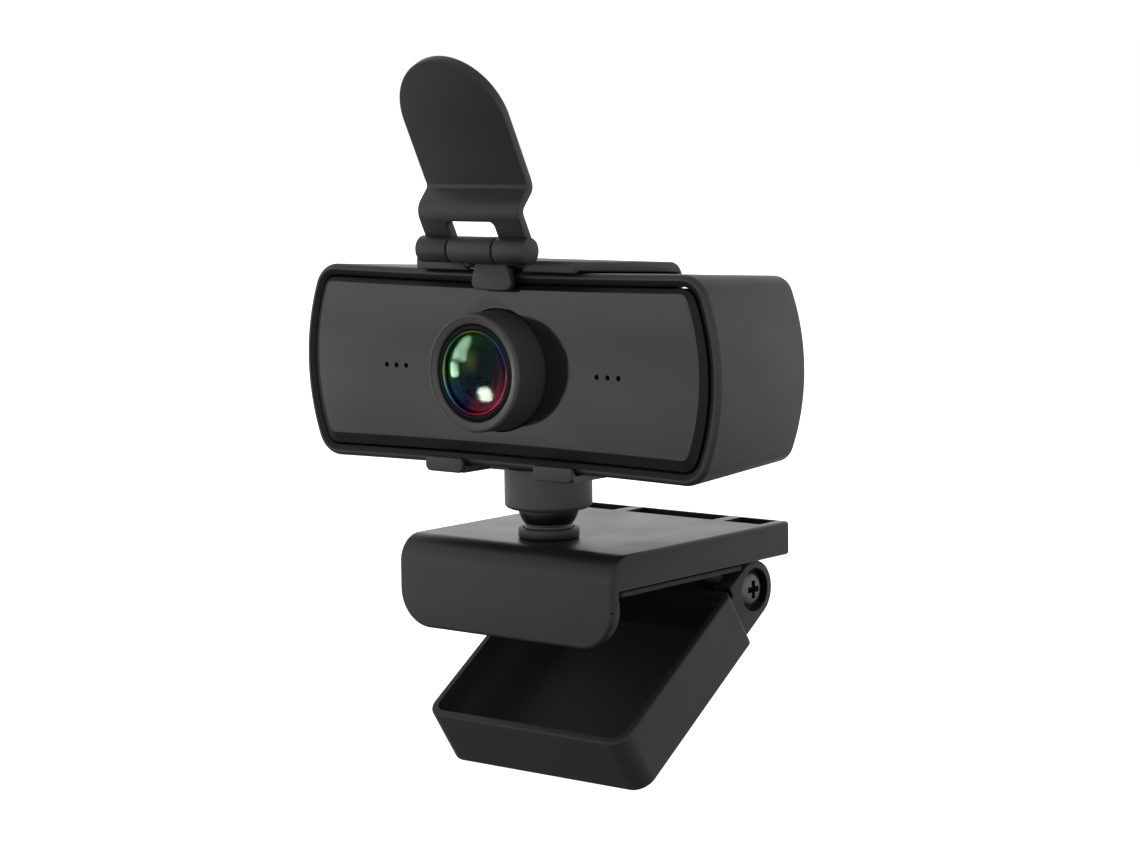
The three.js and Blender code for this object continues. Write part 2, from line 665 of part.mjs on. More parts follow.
function topBracket() {
  const section = new THREE.Shape();
  section.moveTo(BRACKET_FRONT, 47.65);
  section.lineTo(HOOK_BACK, 47.65);
  section.lineTo(HOOK_BACK, 47.95);
  section.lineTo(REAR_HOOK_FRONT, 46.55);
  section.lineTo(REAR_HOOK_FRONT, REAR_HOOK_BOTTOM);
  section.lineTo(BRACKET_REAR, REAR_HOOK_BOTTOM);
  section.absarc(BRACKET_REAR - REAR_ROUND, TOP_FACE_REAR - REAR_ROUND, REAR_ROUND, 0, Math.PI / 2, false);
  section.lineTo(BRACKET_FRONT + 0.3, TOP_FACE_FRONT);
  section.lineTo(BRACKET_FRONT, TOP_FACE_FRONT - 0.3);
  const plate = prismX(section, -TOP_BRACKET_HALF, TOP_BRACKET_HALF, 6);

  const notch = new THREE.Shape();
  notch.moveTo(-5.3, 47);
  notch.lineTo(5.3, 47);
  notch.lineTo(5.3, 47.9);
  notch.quadraticCurveTo(5.6, 49.2, 7.2, 49.7);
  notch.lineTo(-7.2, 49.7);
  notch.quadraticCurveTo(-5.6, 49.2, -5.3, 47.9);
  const notched = cut(plate, prismY(notch, BRACKET_FRONT - 1, BRACKET_FRONT + 1.6, 5));

  const arm = prismX(polygon([
    [HINGE_Y, HINGE_Z - 1.9],
    [BRACKET_FRONT + 2.5, 48.2],
    [BRACKET_FRONT + 3.5, 49.2],
    [BRACKET_FRONT, 50.2],
    [HINGE_Y, HINGE_Z],
  ]), -ARM_HALF, ARM_HALF);
  const tab = prismY(polygon([
    [-TAB_HALF + 0.9, TAB_BOTTOM],
    [TAB_HALF - 0.9, TAB_BOTTOM],
    [TAB_HALF, TAB_BOTTOM + 0.8],
    [TAB_TOP_HALF, 48.7],
    [TAB_TOP_HALF - 0.9, 49.4],
    [-TAB_TOP_HALF + 0.9, 49.4],
    [-TAB_TOP_HALF, 48.7],
    [-TAB_HALF, TAB_BOTTOM + 0.8],
  ]), -12.75, -11.45);
  const knuckle = rodX(HINGE_RADIUS, -CENTRE_KNUCKLE_HALF, CENTRE_KNUCKLE_HALF, HINGE_Y, HINGE_Z, 28);
  const bore = rodX(HINGE_PIN_RADIUS + 0.1, -6, 6, HINGE_Y, HINGE_Z, COARSE);
  return cut(join(notched, arm, tab, knuckle), bore);
}
place('top_bracket', topBracket(), DARK);

place(
  'cover_hinge_pin',
  rodX(HINGE_PIN_RADIUS, -HINGE_HALF_LENGTH + 0.6, HINGE_HALF_LENGTH - 0.6, HINGE_Y, HINGE_Z, COARSE),
  STEEL,
);

// In the cover's own frame +Z runs up the cover and +Y is behind it.
function privacyCover() {
  const slope = new THREE.Vector2(COVER_HIGH_FACE - COVER_LOW_FACE, BEND_HIGH - BEND_LOW).normalize();
  // the back face follows the front face at one thickness
  const dip = (COVER_THICKNESS * (1 - slope.y)) / slope.x;
  const section = polygon([
    [COVER_LOW_FACE, 0],
    [COVER_LOW_FACE, BEND_LOW],
    [COVER_HIGH_FACE, BEND_HIGH],
    [COVER_HIGH_FACE, COVER_LENGTH],
    [COVER_HIGH_FACE + COVER_THICKNESS, COVER_LENGTH],
    [COVER_HIGH_FACE + COVER_THICKNESS, BEND_HIGH - dip],
    [COVER_LOW_FACE + COVER_THICKNESS, BEND_LOW - dip],
    [COVER_LOW_FACE + COVER_THICKNESS, 0],
  ]);
  const plate = prismX(section, -COVER_HALF_WIDTH, COVER_HALF_WIDTH);
  const outline = new THREE.Shape();
  outline.moveTo(-COVER_HALF_WIDTH, 0);
  outline.lineTo(COVER_HALF_WIDTH, 0);
  outline.absarc(0, COVER_LENGTH - COVER_HALF_WIDTH, COVER_HALF_WIDTH, 0, Math.PI, false);
  const trimmed = common(plate, prismY(outline, -2, COVER_HIGH_FACE + 4, 20));
  const knuckles = [-1, 1].map((sign) => {
    const inner = sign * (CENTRE_KNUCKLE_HALF + GAP);
    const outer = sign * HINGE_HALF_LENGTH;
    return rodX(HINGE_RADIUS, Math.min(inner, outer), Math.max(inner, outer), 0, 0, 28);
  });
  const gapHalf = CENTRE_KNUCKLE_HALF + GAP;
  const window = prismY(
    roundedRectangle(-gapHalf, gapHalf, -3, WINDOW_TOP, [0, 0, 0.8, 0.8]),
    -3,
    COVER_HIGH_FACE,
    4,
  );
  const body = join(trimmed, ...knuckles);
  const bores = [-1, 1].map((sign) => {
    const inner = sign * (CENTRE_KNUCKLE_HALF - 1);
    const outer = sign * (HINGE_HALF_LENGTH - 0.5);
    return rodX(HINGE_PIN_RADIUS + 0.1, Math.min(inner, outer), Math.max(inner, outer), 0, 0);
  });
  return cut(body, window, ...bores);
}
place('privacy_cover', privacyCover(), DARK, cover);

// ---------------------------------------------------------------- camera head
const RIM_ROUND = 0.9;
const BEVEL_INSET = 1.75;
const PANEL_INSET = 2.1; // leaves the groove round the panel
const FACE_INSET = 3.28;
const FACE_RISE = 0.53; // the flat face sits a little high in its opening
const COVER_FRONT_Y = 10.2;
const COVER_BACK_Y = 12.9;

function headShell() {
  const frontRound = [0, 30, 60, 90].map((degrees) => {
    const angle = THREE.MathUtils.degToRad(degrees);
    const y = HEAD_FRONT + RIM_ROUND - RIM_ROUND * Math.sin(angle);
    return [y, taper(y) + RIM_ROUND * (1 - Math.cos(angle))];
  });
  return headLoft([
    ...frontRound,
    [HEAD_FRONT + 0.35, BEVEL_INSET],
    [HEAD_FRONT + 0.6, SHELL_WALL],
    [HEAD_REAR, taper(HEAD_REAR) + SHELL_WALL],
    [HEAD_REAR, taper(HEAD_REAR) + 0.8],
    [HEAD_REAR - 0.25, taper(HEAD_REAR) + 0.25],
    [HEAD_REAR - 0.8, taper(HEAD_REAR - 0.8)],
  ], true);
}
place('head_shell', headShell(), SHELL);

place('front_frame', headLoft([
  [PANEL_BACK + GAP, PANEL_INSET],
  [PANEL_BACK + GAP, 4.4],
  [PANEL_BACK + 2, 4.4],
  [PANEL_BACK + 2, PANEL_INSET + 0.1],
], true), BLACK);

function frontPanel() {
  const slab = headLoft([
    [PANEL_FRONT, FACE_INSET, FACE_RISE],
    [PANEL_FRONT + 0.08, FACE_INSET - 0.15, FACE_RISE - 0.03],
    [PANEL_FRONT + 0.5, PANEL_INSET + 0.1, 0.05],
    [PANEL_FRONT + 0.75, PANEL_INSET],
    [PANEL_BACK, PANEL_INSET],
  ], false);
  const tower = (x, dz, radius, end) => rodY(radius, PANEL_BACK - 0.4, end, x, HEAD_Z + dz, 10);
  const towers = CORNERS.flatMap(([a, b]) => [
    tower(a * BOARD_FIX_X, b * BOARD_FIX_DZ, 1.9, -3.3),
    tower(a * CLAMP_X, b * CLAMP_DZ, 2.1, COVER_FRONT_Y - GAP),
  ]);
  const pilots = CORNERS.flatMap(([a, b]) => [
    rodY(1.0, -8, 0, a * BOARD_FIX_X, HEAD_Z + b * BOARD_FIX_DZ, 8),
    rodY(1.0, 3, COVER_BACK_Y, a * CLAMP_X, HEAD_Z + b * CLAMP_DZ, 8),
  ]);
  const lensHole = rodY(BARREL_BASE_RADIUS + 0.35, PANEL_FRONT - 1, PANEL_BACK + 1, 0, HEAD_Z, FINE);
  const micHoles = [-1, 1].flatMap((side) => [-1, 0, 1].map((step) => {
    const x = side * MIC_X + step * MIC_PITCH;
    return rodY(MIC_HOLE_RADIUS, PANEL_FRONT - 1, PANEL_BACK + 1, x, HEAD_Z - 0.15, 10);
  }));
  return cut(join(slab, ...towers), ...pilots, lensHole, ...micHoles);
}
place('front_panel', frontPanel(), PANEL);

const GROMMET_RADIUS = 3.0;
function rearCover() {
  const inset = PANEL_INSET + HEAD_TAPER;
  const slab = headLoft([
    [COVER_FRONT_Y, inset],
    [COVER_BACK_Y - 0.6, inset],
    [COVER_BACK_Y - 0.2, inset + 0.2],
    [COVER_BACK_Y, inset + 0.7],
  ], false);
  const screwHoles = CORNERS.flatMap(([a, b]) => [
    rodY(1.2, COVER_FRONT_Y - 1, COVER_BACK_Y + 1, a * CLAMP_X, HEAD_Z + b * CLAMP_DZ, 8),
    rodY(2.3, COVER_BACK_Y - 1.2, COVER_BACK_Y + 1, a * CLAMP_X, HEAD_Z + b * CLAMP_DZ, COARSE),
  ]);
  const cableHole = rodY(GROMMET_RADIUS + 0.15, COVER_FRONT_Y - 1, COVER_BACK_Y + 1, 0, HEAD_Z, 20);
  return cut(slab, ...screwHoles, cableHole);
}
place('rear_cover', rearCover(), SHELL);

CORNERS.forEach(([a, b], k) => {
  const coverScrew = place(`rear_cover_screw_${k + 1}`, panScrew(1.9, 0.95, 0.9, 6.5), BLACK_STEEL);
  coverScrew.rotation.x = -Math.PI / 2;
  coverScrew.position.set(a * CLAMP_X, COVER_BACK_Y - 1.15, HEAD_Z + b * CLAMP_DZ);
  const boardScrew = place(`board_screw_${k + 1}`, panScrew(1.8, 0.9, 0.9, 4.5), STEEL);
  boardScrew.rotation.x = -Math.PI / 2;
  boardScrew.position.set(a * BOARD_FIX_X, -1.95, HEAD_Z + b * BOARD_FIX_DZ);
});

place('cable_grommet', turnedY([
  [1.9, COVER_FRONT_Y - 0.8],
  [GROMMET_RADIUS, COVER_FRONT_Y - 0.8],
  [GROMMET_RADIUS, COVER_BACK_Y + 0.05],
  [3.9, COVER_BACK_Y + 0.05],
  [3.9, COVER_BACK_Y + 0.5],
  [3.6, COVER_BACK_Y + 0.8],
  [1.9, COVER_BACK_Y + 0.8],
  [1.9, COVER_FRONT_Y - 0.8],
], 20), RUBBER, lensAxis);

// ---------------------------------------------------------------- lens
// A plain ring from its two radii and its front and rear faces.
function plainRing(inner, outer, front, rear, segments = FINE) {
  return turnedY([[inner, front], [outer, front], [outer, rear], [inner, rear], [inner, front]], segments);
}

// A lens element from its rim radius, rim faces and the two vertices on the axis.
function lensElement(rim, rimFront, rimRear, vertexFront, vertexRear) {
  const steps = 3;
  const face = (vertex, edge) => Array.from({ length: steps + 1 }, (_, k) => {
    const radius = (rim * k) / steps;
    return [radius, vertex + (edge - vertex) * (radius / rim) ** 2];
  });
  return turnedY([...face(vertexFront, rimFront), ...face(vertexRear, rimRear).reverse()], 20);
}

const CELL_OUTER = 6.85;
const CELL_INNER = 6.15;
const ELEMENT_RIM = 6.05;
place('lens_barrel', turnedY([
  [7.0, -8.2],
  [9.9, -8.2],
  [9.9, -9.25],
  [BARREL_BASE_RADIUS, -9.25],
  [BARREL_BASE_RADIUS, PANEL_FRONT],
  [BARREL_RADIUS, BARREL_FRONT + 0.5],
  [8.72, BARREL_FRONT + 0.22],
  [8.4, BARREL_FRONT],
  [8.2, BARREL_FRONT],
  [8.2, BARREL_FRONT + 1.7],
  [7.0, BARREL_FRONT + 1.7],
  [7.0, -8.2],
]), DARK, lensAxis);
place('lens_front_ring', turnedY([
  [6.95, BARREL_FRONT + 0.35],
  [8.0, BARREL_FRONT + 0.08],
  [8.1, BARREL_FRONT + 0.2],
  [8.1, BARREL_FRONT + 1.6],
  [6.95, BARREL_FRONT + 1.6],
  [6.95, BARREL_FRONT + 0.35],
]), BLACK, lensAxis);
place('lens_cell', plainRing(CELL_INNER, CELL_OUTER, -17.0, -5, 24), BLACK, lensAxis);
place('front_lens', lensElement(ELEMENT_RIM, -16.1, -14.6, -17.25, -14.6), GLASS, lensAxis);
place('lens_spacer', plainRing(4.4, ELEMENT_RIM, -14.3, -13.1, 20), BLACK, lensAxis);
place('second_lens', lensElement(ELEMENT_RIM, -12.2, -11.4, -12.9, -11.4), GLASS, lensAxis);
place('aperture_stop', plainRing(2.9, ELEMENT_RIM, -11.1, -10.7, 20), BLACK, lensAxis);
place('rear_lens', lensElement(ELEMENT_RIM, -9.8, -8.9, -10.4, -8.6), GLASS, lensAxis);

const MOUNT_HALF = 9;
place('lens_mount', cut(
  box(-MOUNT_HALF, MOUNT_HALF, -7.8, -3.5, -MOUNT_HALF, MOUNT_HALF),
  rodY(CELL_OUTER + GAP, -9, -4.8, 0, 0, 24),
  rodY(5.2, -5, -3, 0, 0, 20),
), BLACK, lensAxis);
place('ir_filter', rodY(4.9, -4.5, -4.2, 0, 0, 20), GLASS, lensAxis);
place('image_sensor', box(-3.5, 3.5, -4.05, -3.25, -2.8, 2.8), CHIP, lensAxis);

// ---------------------------------------------------------------- electronics
const BOARD_HALF_X = 29.8;
const BOARD_HALF_Z = 10;
const BOARD_FRONT_Y = -3.2;
const BOARD_BACK_Y = -2.0;
const boardHoles = CORNERS.map(([a, b]) => rodY(1.15, -4, 0, a * BOARD_FIX_X, b * BOARD_FIX_DZ, 10));
place('main_board', cut(
  box(-BOARD_HALF_X, BOARD_HALF_X, BOARD_FRONT_Y, BOARD_BACK_Y, -BOARD_HALF_Z, BOARD_HALF_Z),
  ...boardHoles,
), BOARD, lensAxis);
place('image_processor', box(-6, 4, BOARD_BACK_Y + 0.05, -0.9, -5, 5), CHIP, lensAxis);
place('clock_crystal', box(7, 12, BOARD_BACK_Y + 0.05, -0.7, -1.6, 1.6), STEEL, lensAxis);
place('cable_header', cut(
  box(14, 22, BOARD_BACK_Y + 0.05, 3, -3, 3),
  box(15, 21, 0, 4, -2, 2),
), RUBBER, lensAxis);

[['right', 1], ['left', -1]].forEach(([side, sign]) => {
  const capsule = place(`${side}_microphone`, turnedY([
    [0, -6.3],
    [1.2, -6.3],
    [1.2, -6.6],
    [3.0, -6.6],
    [3.0, -3.3],
    [0, -3.3],
  ], 20), STEEL, lensAxis);
  capsule.position.x = sign * MIC_X;
  const boot = place(`${side}_mic_seal`, cut(
    rodY(3.5, PANEL_BACK + 0.15, -6.9, 0, 0, 20),
    box(-2.5, 2.5, PANEL_BACK - 1, -6, -0.7, 0.7),
  ), RUBBER, lensAxis);
  boot.position.x = sign * MIC_X;
});

export default model;
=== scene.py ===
"""Looks of the clip-on webcam: fine meshes, materials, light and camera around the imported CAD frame.

Lengths are in millimetres until a mesh is made. +Z is up and the lens looks along -Y.
"""

import json
import math

import bmesh
import bpy
from mathutils import Matrix, Vector


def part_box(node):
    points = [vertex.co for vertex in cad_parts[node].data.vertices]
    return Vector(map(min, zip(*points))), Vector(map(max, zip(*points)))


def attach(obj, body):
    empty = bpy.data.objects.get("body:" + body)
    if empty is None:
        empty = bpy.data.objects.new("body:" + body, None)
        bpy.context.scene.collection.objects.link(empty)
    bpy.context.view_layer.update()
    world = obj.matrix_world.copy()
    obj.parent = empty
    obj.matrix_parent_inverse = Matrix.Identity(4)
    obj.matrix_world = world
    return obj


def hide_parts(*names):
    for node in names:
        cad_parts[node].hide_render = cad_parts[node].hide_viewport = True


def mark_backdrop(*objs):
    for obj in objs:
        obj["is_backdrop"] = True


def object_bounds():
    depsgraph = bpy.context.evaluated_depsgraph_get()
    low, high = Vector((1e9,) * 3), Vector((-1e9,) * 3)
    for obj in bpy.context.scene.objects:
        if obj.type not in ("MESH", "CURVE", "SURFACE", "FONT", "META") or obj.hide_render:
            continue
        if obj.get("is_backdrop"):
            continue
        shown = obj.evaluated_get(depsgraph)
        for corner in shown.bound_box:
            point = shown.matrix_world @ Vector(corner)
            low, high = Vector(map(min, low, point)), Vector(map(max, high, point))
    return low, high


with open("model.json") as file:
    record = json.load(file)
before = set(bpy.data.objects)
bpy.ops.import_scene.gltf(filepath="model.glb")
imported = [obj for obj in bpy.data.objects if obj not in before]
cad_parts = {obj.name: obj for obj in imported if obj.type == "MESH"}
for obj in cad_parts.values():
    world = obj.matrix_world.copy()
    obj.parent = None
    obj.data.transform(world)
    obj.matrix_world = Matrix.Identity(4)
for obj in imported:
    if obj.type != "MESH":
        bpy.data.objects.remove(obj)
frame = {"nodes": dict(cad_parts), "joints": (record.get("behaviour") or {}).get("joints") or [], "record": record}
cad_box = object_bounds()

MM = 0.001


# ---------------------------------------------------------------- places, read from the frame
def span(node):
    """Lowest and highest corner of a CAD node, in millimetres."""
    low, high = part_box(node)
    return low / MM, high / MM


def joint_at(name):
    """A joint's place, in millimetres."""
    joint = next(j for j in frame["joints"] if j["name"] == name)
    return Vector(joint["pos_m"]) / MM


HEAD_LOW, HEAD_HIGH = span("head_shell")
HEAD_Z = (HEAD_LOW.z + HEAD_HIGH.z) / 2
HEAD_FRONT = HEAD_LOW.y
HEAD_REAR = HEAD_HIGH.y
HINGE = joint_at("cover_flip")
PIVOT = joint_at("leg_fold")
BALL = joint_at("head_nod")
LENS_AXIS = Vector((0, 0, HEAD_Z))
BARREL_FRONT = span("lens_barrel")[0].y
PLATE_LOW, PLATE_HIGH = span("clip_plate")
PANEL_FRONT = span("front_panel")[0].y


# ---------------------------------------------------------------- outlines
def arc(cx, cy, radius, start, end, steps):
    """Points of an arc, angles in degrees, both ends included."""
    angles = [math.radians(start + (end - start) * k / steps) for k in range(steps + 1)]
    return [(cx + radius * math.cos(a), cy + radius * math.sin(a)) for a in angles]


def rounded(corners, steps=7):
    """Closed outline through corners (x, y, radius); a corner with no radius stays sharp."""
    out = []
    count = len(corners)
    for k, (x, y, radius) in enumerate(corners):
        here = Vector((x, y))
        if radius <= 0:
            out.append((x, y))
            continue
        before = (Vector(corners[k - 1][:2]) - here).normalized()
        after = (Vector(corners[(k + 1) % count][:2]) - here).normalized()
        half = before.angle(after) / 2
        centre = here + (before + after).normalized() * (radius / math.sin(half))
        first = here + before * (radius / math.tan(half)) - centre
        last = here + after * (radius / math.tan(half)) - centre
        turn = math.atan2(first.x * last.y - first.y * last.x, first.dot(last))
        for s in range(steps + 1):
            angle = turn * s / steps
            c, d = math.cos(angle), math.sin(angle)
            out.append((centre.x + first.x * c - first.y * d, centre.y + first.x * d + first.y * c))
    return out


def rectangle(x0, x1, y0, y1, radii=(0, 0, 0, 0), steps=7):
    """Rectangle with a radius at each corner: lower left, lower right, upper right, upper left."""
    a, b, c, d = radii
    return rounded([(x0, y0, a), (x1, y0, b), (x1, y1, c), (x0, y1, d)], steps)


END_RADIUS = 34.0
CORNER_RADIUS = 4.6
HOLLOW_RADIUS = 1700.0
HALF_HEIGHT = 14.8
HEAD_TAPER = 1.35


def head_outline(inset=0.0, rise=0.0, end_steps=22, corner_steps=16, top_steps=14):
    """The head from the front: bulged ends, round corners, slightly hollow top and bottom."""
    end_x = HEAD_HIGH.x - END_RADIUS
    reach = END_RADIUS - CORNER_RADIUS
    hollow_z = HALF_HEIGHT + HOLLOW_RADIUS
    p = 2 * end_x * reach
    q = -2 * reach * hollow_z
    r = (HOLLOW_RADIUS + CORNER_RADIUS) ** 2 - hollow_z ** 2 - end_x ** 2 - reach ** 2
    end_angle = math.degrees(math.atan2(q, p) + math.acos(r / math.hypot(p, q)))
    corner_x = end_x + reach * math.cos(math.radians(end_angle))
    corner_z = reach * math.sin(math.radians(end_angle))
    top_angle = math.degrees(math.atan2(hollow_z - corner_z, -corner_x))
    quarter = arc(end_x, 0, END_RADIUS - inset, 0, end_angle, end_steps)[:-1]
    quarter += arc(corner_x, corner_z, CORNER_RADIUS - inset, end_angle, top_angle, corner_steps)[:-1]
    quarter += arc(0, hollow_z, HOLLOW_RADIUS + inset, top_angle - 180, -90, top_steps)
    upper = quarter + [(-x, z) for x, z in reversed(quarter[:-1])]
    lower = [(x, -z) for x, z in reversed(upper[1:-1])]
    return [(x, z + rise) for x, z in upper + lower]


def taper(y):
    """How far the head's outline has drawn in at depth y."""
    return HEAD_TAPER * (y - HEAD_FRONT) / (HEAD_REAR - HEAD_FRONT)


# ---------------------------------------------------------------- mesh tools
def piece(name, points, faces):
    """Mesh object from points in millimetres, its faces turned outwards."""
    mesh = bpy.data.meshes.new(name)
    mesh.from_pydata([Vector(p) * MM for p in points], [], faces)
    obj = bpy.data.objects.new(name, mesh)
    bpy.context.scene.collection.objects.link(obj)
    work = bmesh.new()
    work.from_mesh(mesh)
    bmesh.ops.recalc_face_normals(work, faces=work.faces)
    if work.calc_volume(signed=True) < 0:
        bmesh.ops.reverse_faces(work, faces=work.faces)
    work.to_mesh(mesh)
    work.free()
    return obj


def skin(name, rings, closed=False):
    """Skin through rings of equally many points. It closes on itself, or ends in two flat caps."""
    count = len(rings[0])
    points = [p for ring in rings for p in ring]
    faces = []
    for s in range(len(rings) if closed else len(rings) - 1):
        here, after = s * count, ((s + 1) % len(rings)) * count
        for k in range(count):
            n = (k + 1) % count
            faces.append((here + k, here + n, after + n, after + k))
    if not closed:
        faces.append(tuple(range(count)))
        faces.append(tuple(reversed(range((len(rings) - 1) * count, len(rings) * count))))
    return piece(name, points, faces)


def head_skin(name, rings, closed=False):
    """Skin through head outlines given as (y, inset, rise)."""
    return skin(name, [
        [(x, y, HEAD_Z + z) for x, z in head_outline(inset, rise)] for y, inset, rise in rings
    ], closed)


def prism(name, outline, axis, low, high):
    """Straight solid along an axis. The outline is in the other two axes, in X, Y, Z order."""
    place = {
        "X": lambda a, b, t: (t, a, b),
        "Y": lambda a, b, t: (a, t, b),
        "Z": lambda a, b, t: (a, b, t),
    }[axis]
    return skin(name, [[place(a, b, t) for a, b in outline] for t in (low, high)])


def block(name, x0, x1, y0, y1, z0, z1):
    return prism(name, [(x0, y0), (x1, y0), (x1, y1), (x0, y1)], "Z", z0, z1)


def turned(name, profile, axis, centre, steps=96):
    """Solid of revolution. The profile is (radius, place along the axis), closed or on the axis."""
    spin = {
        "X": lambda r, c, s, t: (t, r * c, r * s),
        "Y": lambda r, c, s, t: (r * c, t, r * s),
        "Z": lambda r, c, s, t: (r * c, r * s, t),
    }[axis]
    open_ends = profile[0][0] < 1e-6
    points, rows = [], []
    for radius, t in profile:
        if radius < 1e-6:
            rows.append([len(points)] * steps)
            points.append(Vector(spin(0, 1, 0, t)) + centre)
            continue
        rows.append(list(range(len(points), len(points) + steps)))
        for k in range(steps):
            angle = 2 * math.pi * k / steps
            points.append(Vector(spin(radius, math.cos(angle), math.sin(angle), t)) + centre)
    faces = []
    for s in range(len(rows) - 1 if open_ends else len(rows)):
        here, after = rows[s], rows[(s + 1) % len(rows)]
        for k in range(steps):
            n = (k + 1) % steps
            ring = [here[k], here[n], after[n], after[k]]
            face = [v for i, v in enumerate(ring) if v != ring[i - 1]]
            if len(face) > 2:
                faces.append(face)
    return piece(name, points, faces)


def rod(name, radius, axis, low, high, a, b, steps=64):
    """Cylinder along an axis; a and b are its place in the other two axes."""
    outline = arc(a, b, radius, 0, 360, steps)[:-1]
    return prism(name, outline, axis, low, high)


def apply_modifiers(obj):
    graph = bpy.context.evaluated_depsgraph_get()
    mesh = bpy.data.meshes.new_from_object(obj.evaluated_get(graph))
    obj.modifiers.clear()
    obj.data = mesh


def combine(base, tools, operation):
    """Join, cut or intersect the base with each tool, which is then deleted."""
    for tool in tools:
        modifier = base.modifiers.new("combine", "BOOLEAN")
        modifier.operation = operation
        modifier.solver = "EXACT"
        modifier.object = tool
        apply_modifiers(base)
        bpy.data.objects.remove(tool)
    return base


def join(base, *tools):
    return combine(base, tools, "UNION")


def cut(base, *tools):
    return combine(base, tools, "DIFFERENCE")


def common(base, *tools):
    return combine(base, tools, "INTERSECT")


def soften(obj, width, segments=3, angle=30):
    """Round the edges that are sharper than an angle."""
    modifier = obj.modifiers.new("soften", "BEVEL")
    modifier.width = width * MM
    modifier.segments = segments
    modifier.limit_method = "ANGLE"
    modifier.angle_limit = math.radians(angle)
    modifier.use_clamp_overlap = False
    apply_modifiers(obj)
    return obj


def turn_about(obj, axis, degrees, centre):
    """Turn a mesh about an axis through a point."""
    move = Matrix.Translation(centre * MM) @ Matrix.Rotation(math.radians(degrees), 4, axis)
    obj.data.transform(move @ Matrix.Translation(-centre * MM))
    return obj


def shift(obj, x=0.0, y=0.0, z=0.0):
    obj.data.transform(Matrix.Translation(Vector((x, y, z)) * MM))
    return obj


def hand_over(obj, material, body, slot, *nodes, sharp=32):
    """Smooth the faces, then give the piece its finish, its body and the CAD nodes it stands for."""
    obj.data.materials.clear()
    obj.data.materials.append(material)
    for face in obj.data.polygons:
        face.use_smooth = True
        face.material_index = 0
    obj.data.set_sharp_from_angle(angle=math.radians(sharp))
    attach(obj, body)
    if nodes:
        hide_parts(*nodes)
    return obj


def refinish(obj, material, wanted):
    """Another finish for the faces wanted, told by their outward direction and their centre; in this script it
    paints shade and light onto faces by where they face and stand.
    """
    obj.data.materials.append(material)
    for face in obj.data.polygons:
        if wanted(face.normal, face.center / MM):
            face.material_index = 1


# ---------------------------------------------------------------- materials
class Nodes:
    """Small helper to build a material's nodes."""

    def __init__(self, name):
        self.material = bpy.data.materials.new(name)
        self.material.use_nodes = True
        self.tree = self.material.node_tree
        self.shader = next(n for n in self.tree.nodes if n.type == "BSDF_PRINCIPLED")
        self.place = self.add("ShaderNodeTexCoord").outputs["Object"]

    def add(self, kind, **sockets):
        node = self.tree.nodes.new(kind)
        for key, value in sockets.items():
            self.put(node.inputs[key.replace("_", " ")], value)
        return node

    def put(self, socket, value):
        if isinstance(value, bpy.types.NodeSocket):
            self.tree.links.new(value, socket)
        else:
            socket.default_value = value

    def set(self, **sockets):
        for key, value in sockets.items():
            self.put(self.shader.inputs[key.replace("_", " ")], value)

    def noise(self, size, detail=2.0, rough=0.5):
        """Noise with features of about `size` millimetres."""
        return self.add(
            "ShaderNodeTexNoise", Vector=self.place, Scale=1 / (size * MM), Detail=detail, Roughness=rough
        ).outputs["Fac"]

    def between(self, fac, low, high, start=0.0, end=1.0):
        """Maps a value from start..end to low..high."""
        node = self.tree.nodes.new("ShaderNodeMapRange")
        values = {"Value": fac, "From Min": start, "From Max": end, "To Min": low, "To Max": high}
        for key, value in values.items():
            self.put(node.inputs[key], value)
        return node.outputs["Result"]

    def ramp(self, fac, stops, mode="LINEAR"):
        node = self.tree.nodes.new("ShaderNodeValToRGB")
        node.color_ramp.interpolation = mode
        self.put(node.inputs["Fac"], fac)
        elements = node.color_ramp.elements
        while len(elements) < len(stops):
            elements.new(0.5)
        for element, (at, colour) in zip(elements, stops):
            element.position = at
            element.color = (*colour, 1)
        return node.outputs["Color"]

    def mix(self, a, b, blend, factor):
        node = self.tree.nodes.new("ShaderNodeMix")
        node.data_type = "RGBA"
        node.blend_type = blend
        self.put(node.inputs["Factor"], factor)
        self.put(node.inputs[6], a)
        self.put(node.inputs[7], b)
        return node.outputs[2]

    def bump(self, height, strength, distance):
        """Bump with a height in millimetres."""
        return self.add(
            "ShaderNodeBump", Height=height, Strength=strength, Distance=distance * MM
        ).outputs["Normal"]


def shade(colour, factor):
    return tuple(c * factor for c in colour)


def plastic(name, colour, roughness, grain=0.28, depth=0.012, strength=0.5, specular=0.5):
    """Moulded plastic: slow colour drift, fine spark-eroded grain, uneven gloss."""
    n = Nodes(name)
    drift = n.noise(9.0, 3.0)
    fine = n.noise(grain, 3.0, 0.62)
    speck = n.noise(grain * 2.6, 2.0)
    n.set(
        Base_Color=n.ramp(
            n.between(fine, 0.25, 0.75, 0.3, 0.7),
            [(0.0, shade(colour, 0.86)), (0.5, colour), (1.0, shade(colour, 1.14))],
        ),
        Roughness=n.between(drift, roughness - 0.03, roughness + 0.03, 0.3, 0.7),
        Specular_IOR_Level=specular,
    )
    height = n.add("ShaderNodeMath", Value=fine)
    height.operation = "MULTIPLY"
    n.put(height.inputs[1], n.between(speck, 0.7, 1.0, 0.3, 0.7))
    n.set(Normal=n.bump(height.outputs["Value"], strength, depth))
    return n.material


DRAWN_LINES = (1.0, 1.0, 12.0)  # how much denser the noise is along each axis


def rubber(name, colour):
    """Soft rubber with a fine open grain."""
    n = Nodes(name)
    fine = n.noise(0.35, 4.0, 0.7)
    n.set(
        Base_Color=n.ramp(fine, [(0.3, shade(colour, 0.8)), (0.7, shade(colour, 1.25))]),
        Roughness=n.between(n.noise(4.0), 0.78, 0.92, 0.3, 0.7),
        Normal=n.bump(fine, 0.6, 0.02),
    )
    return n.material


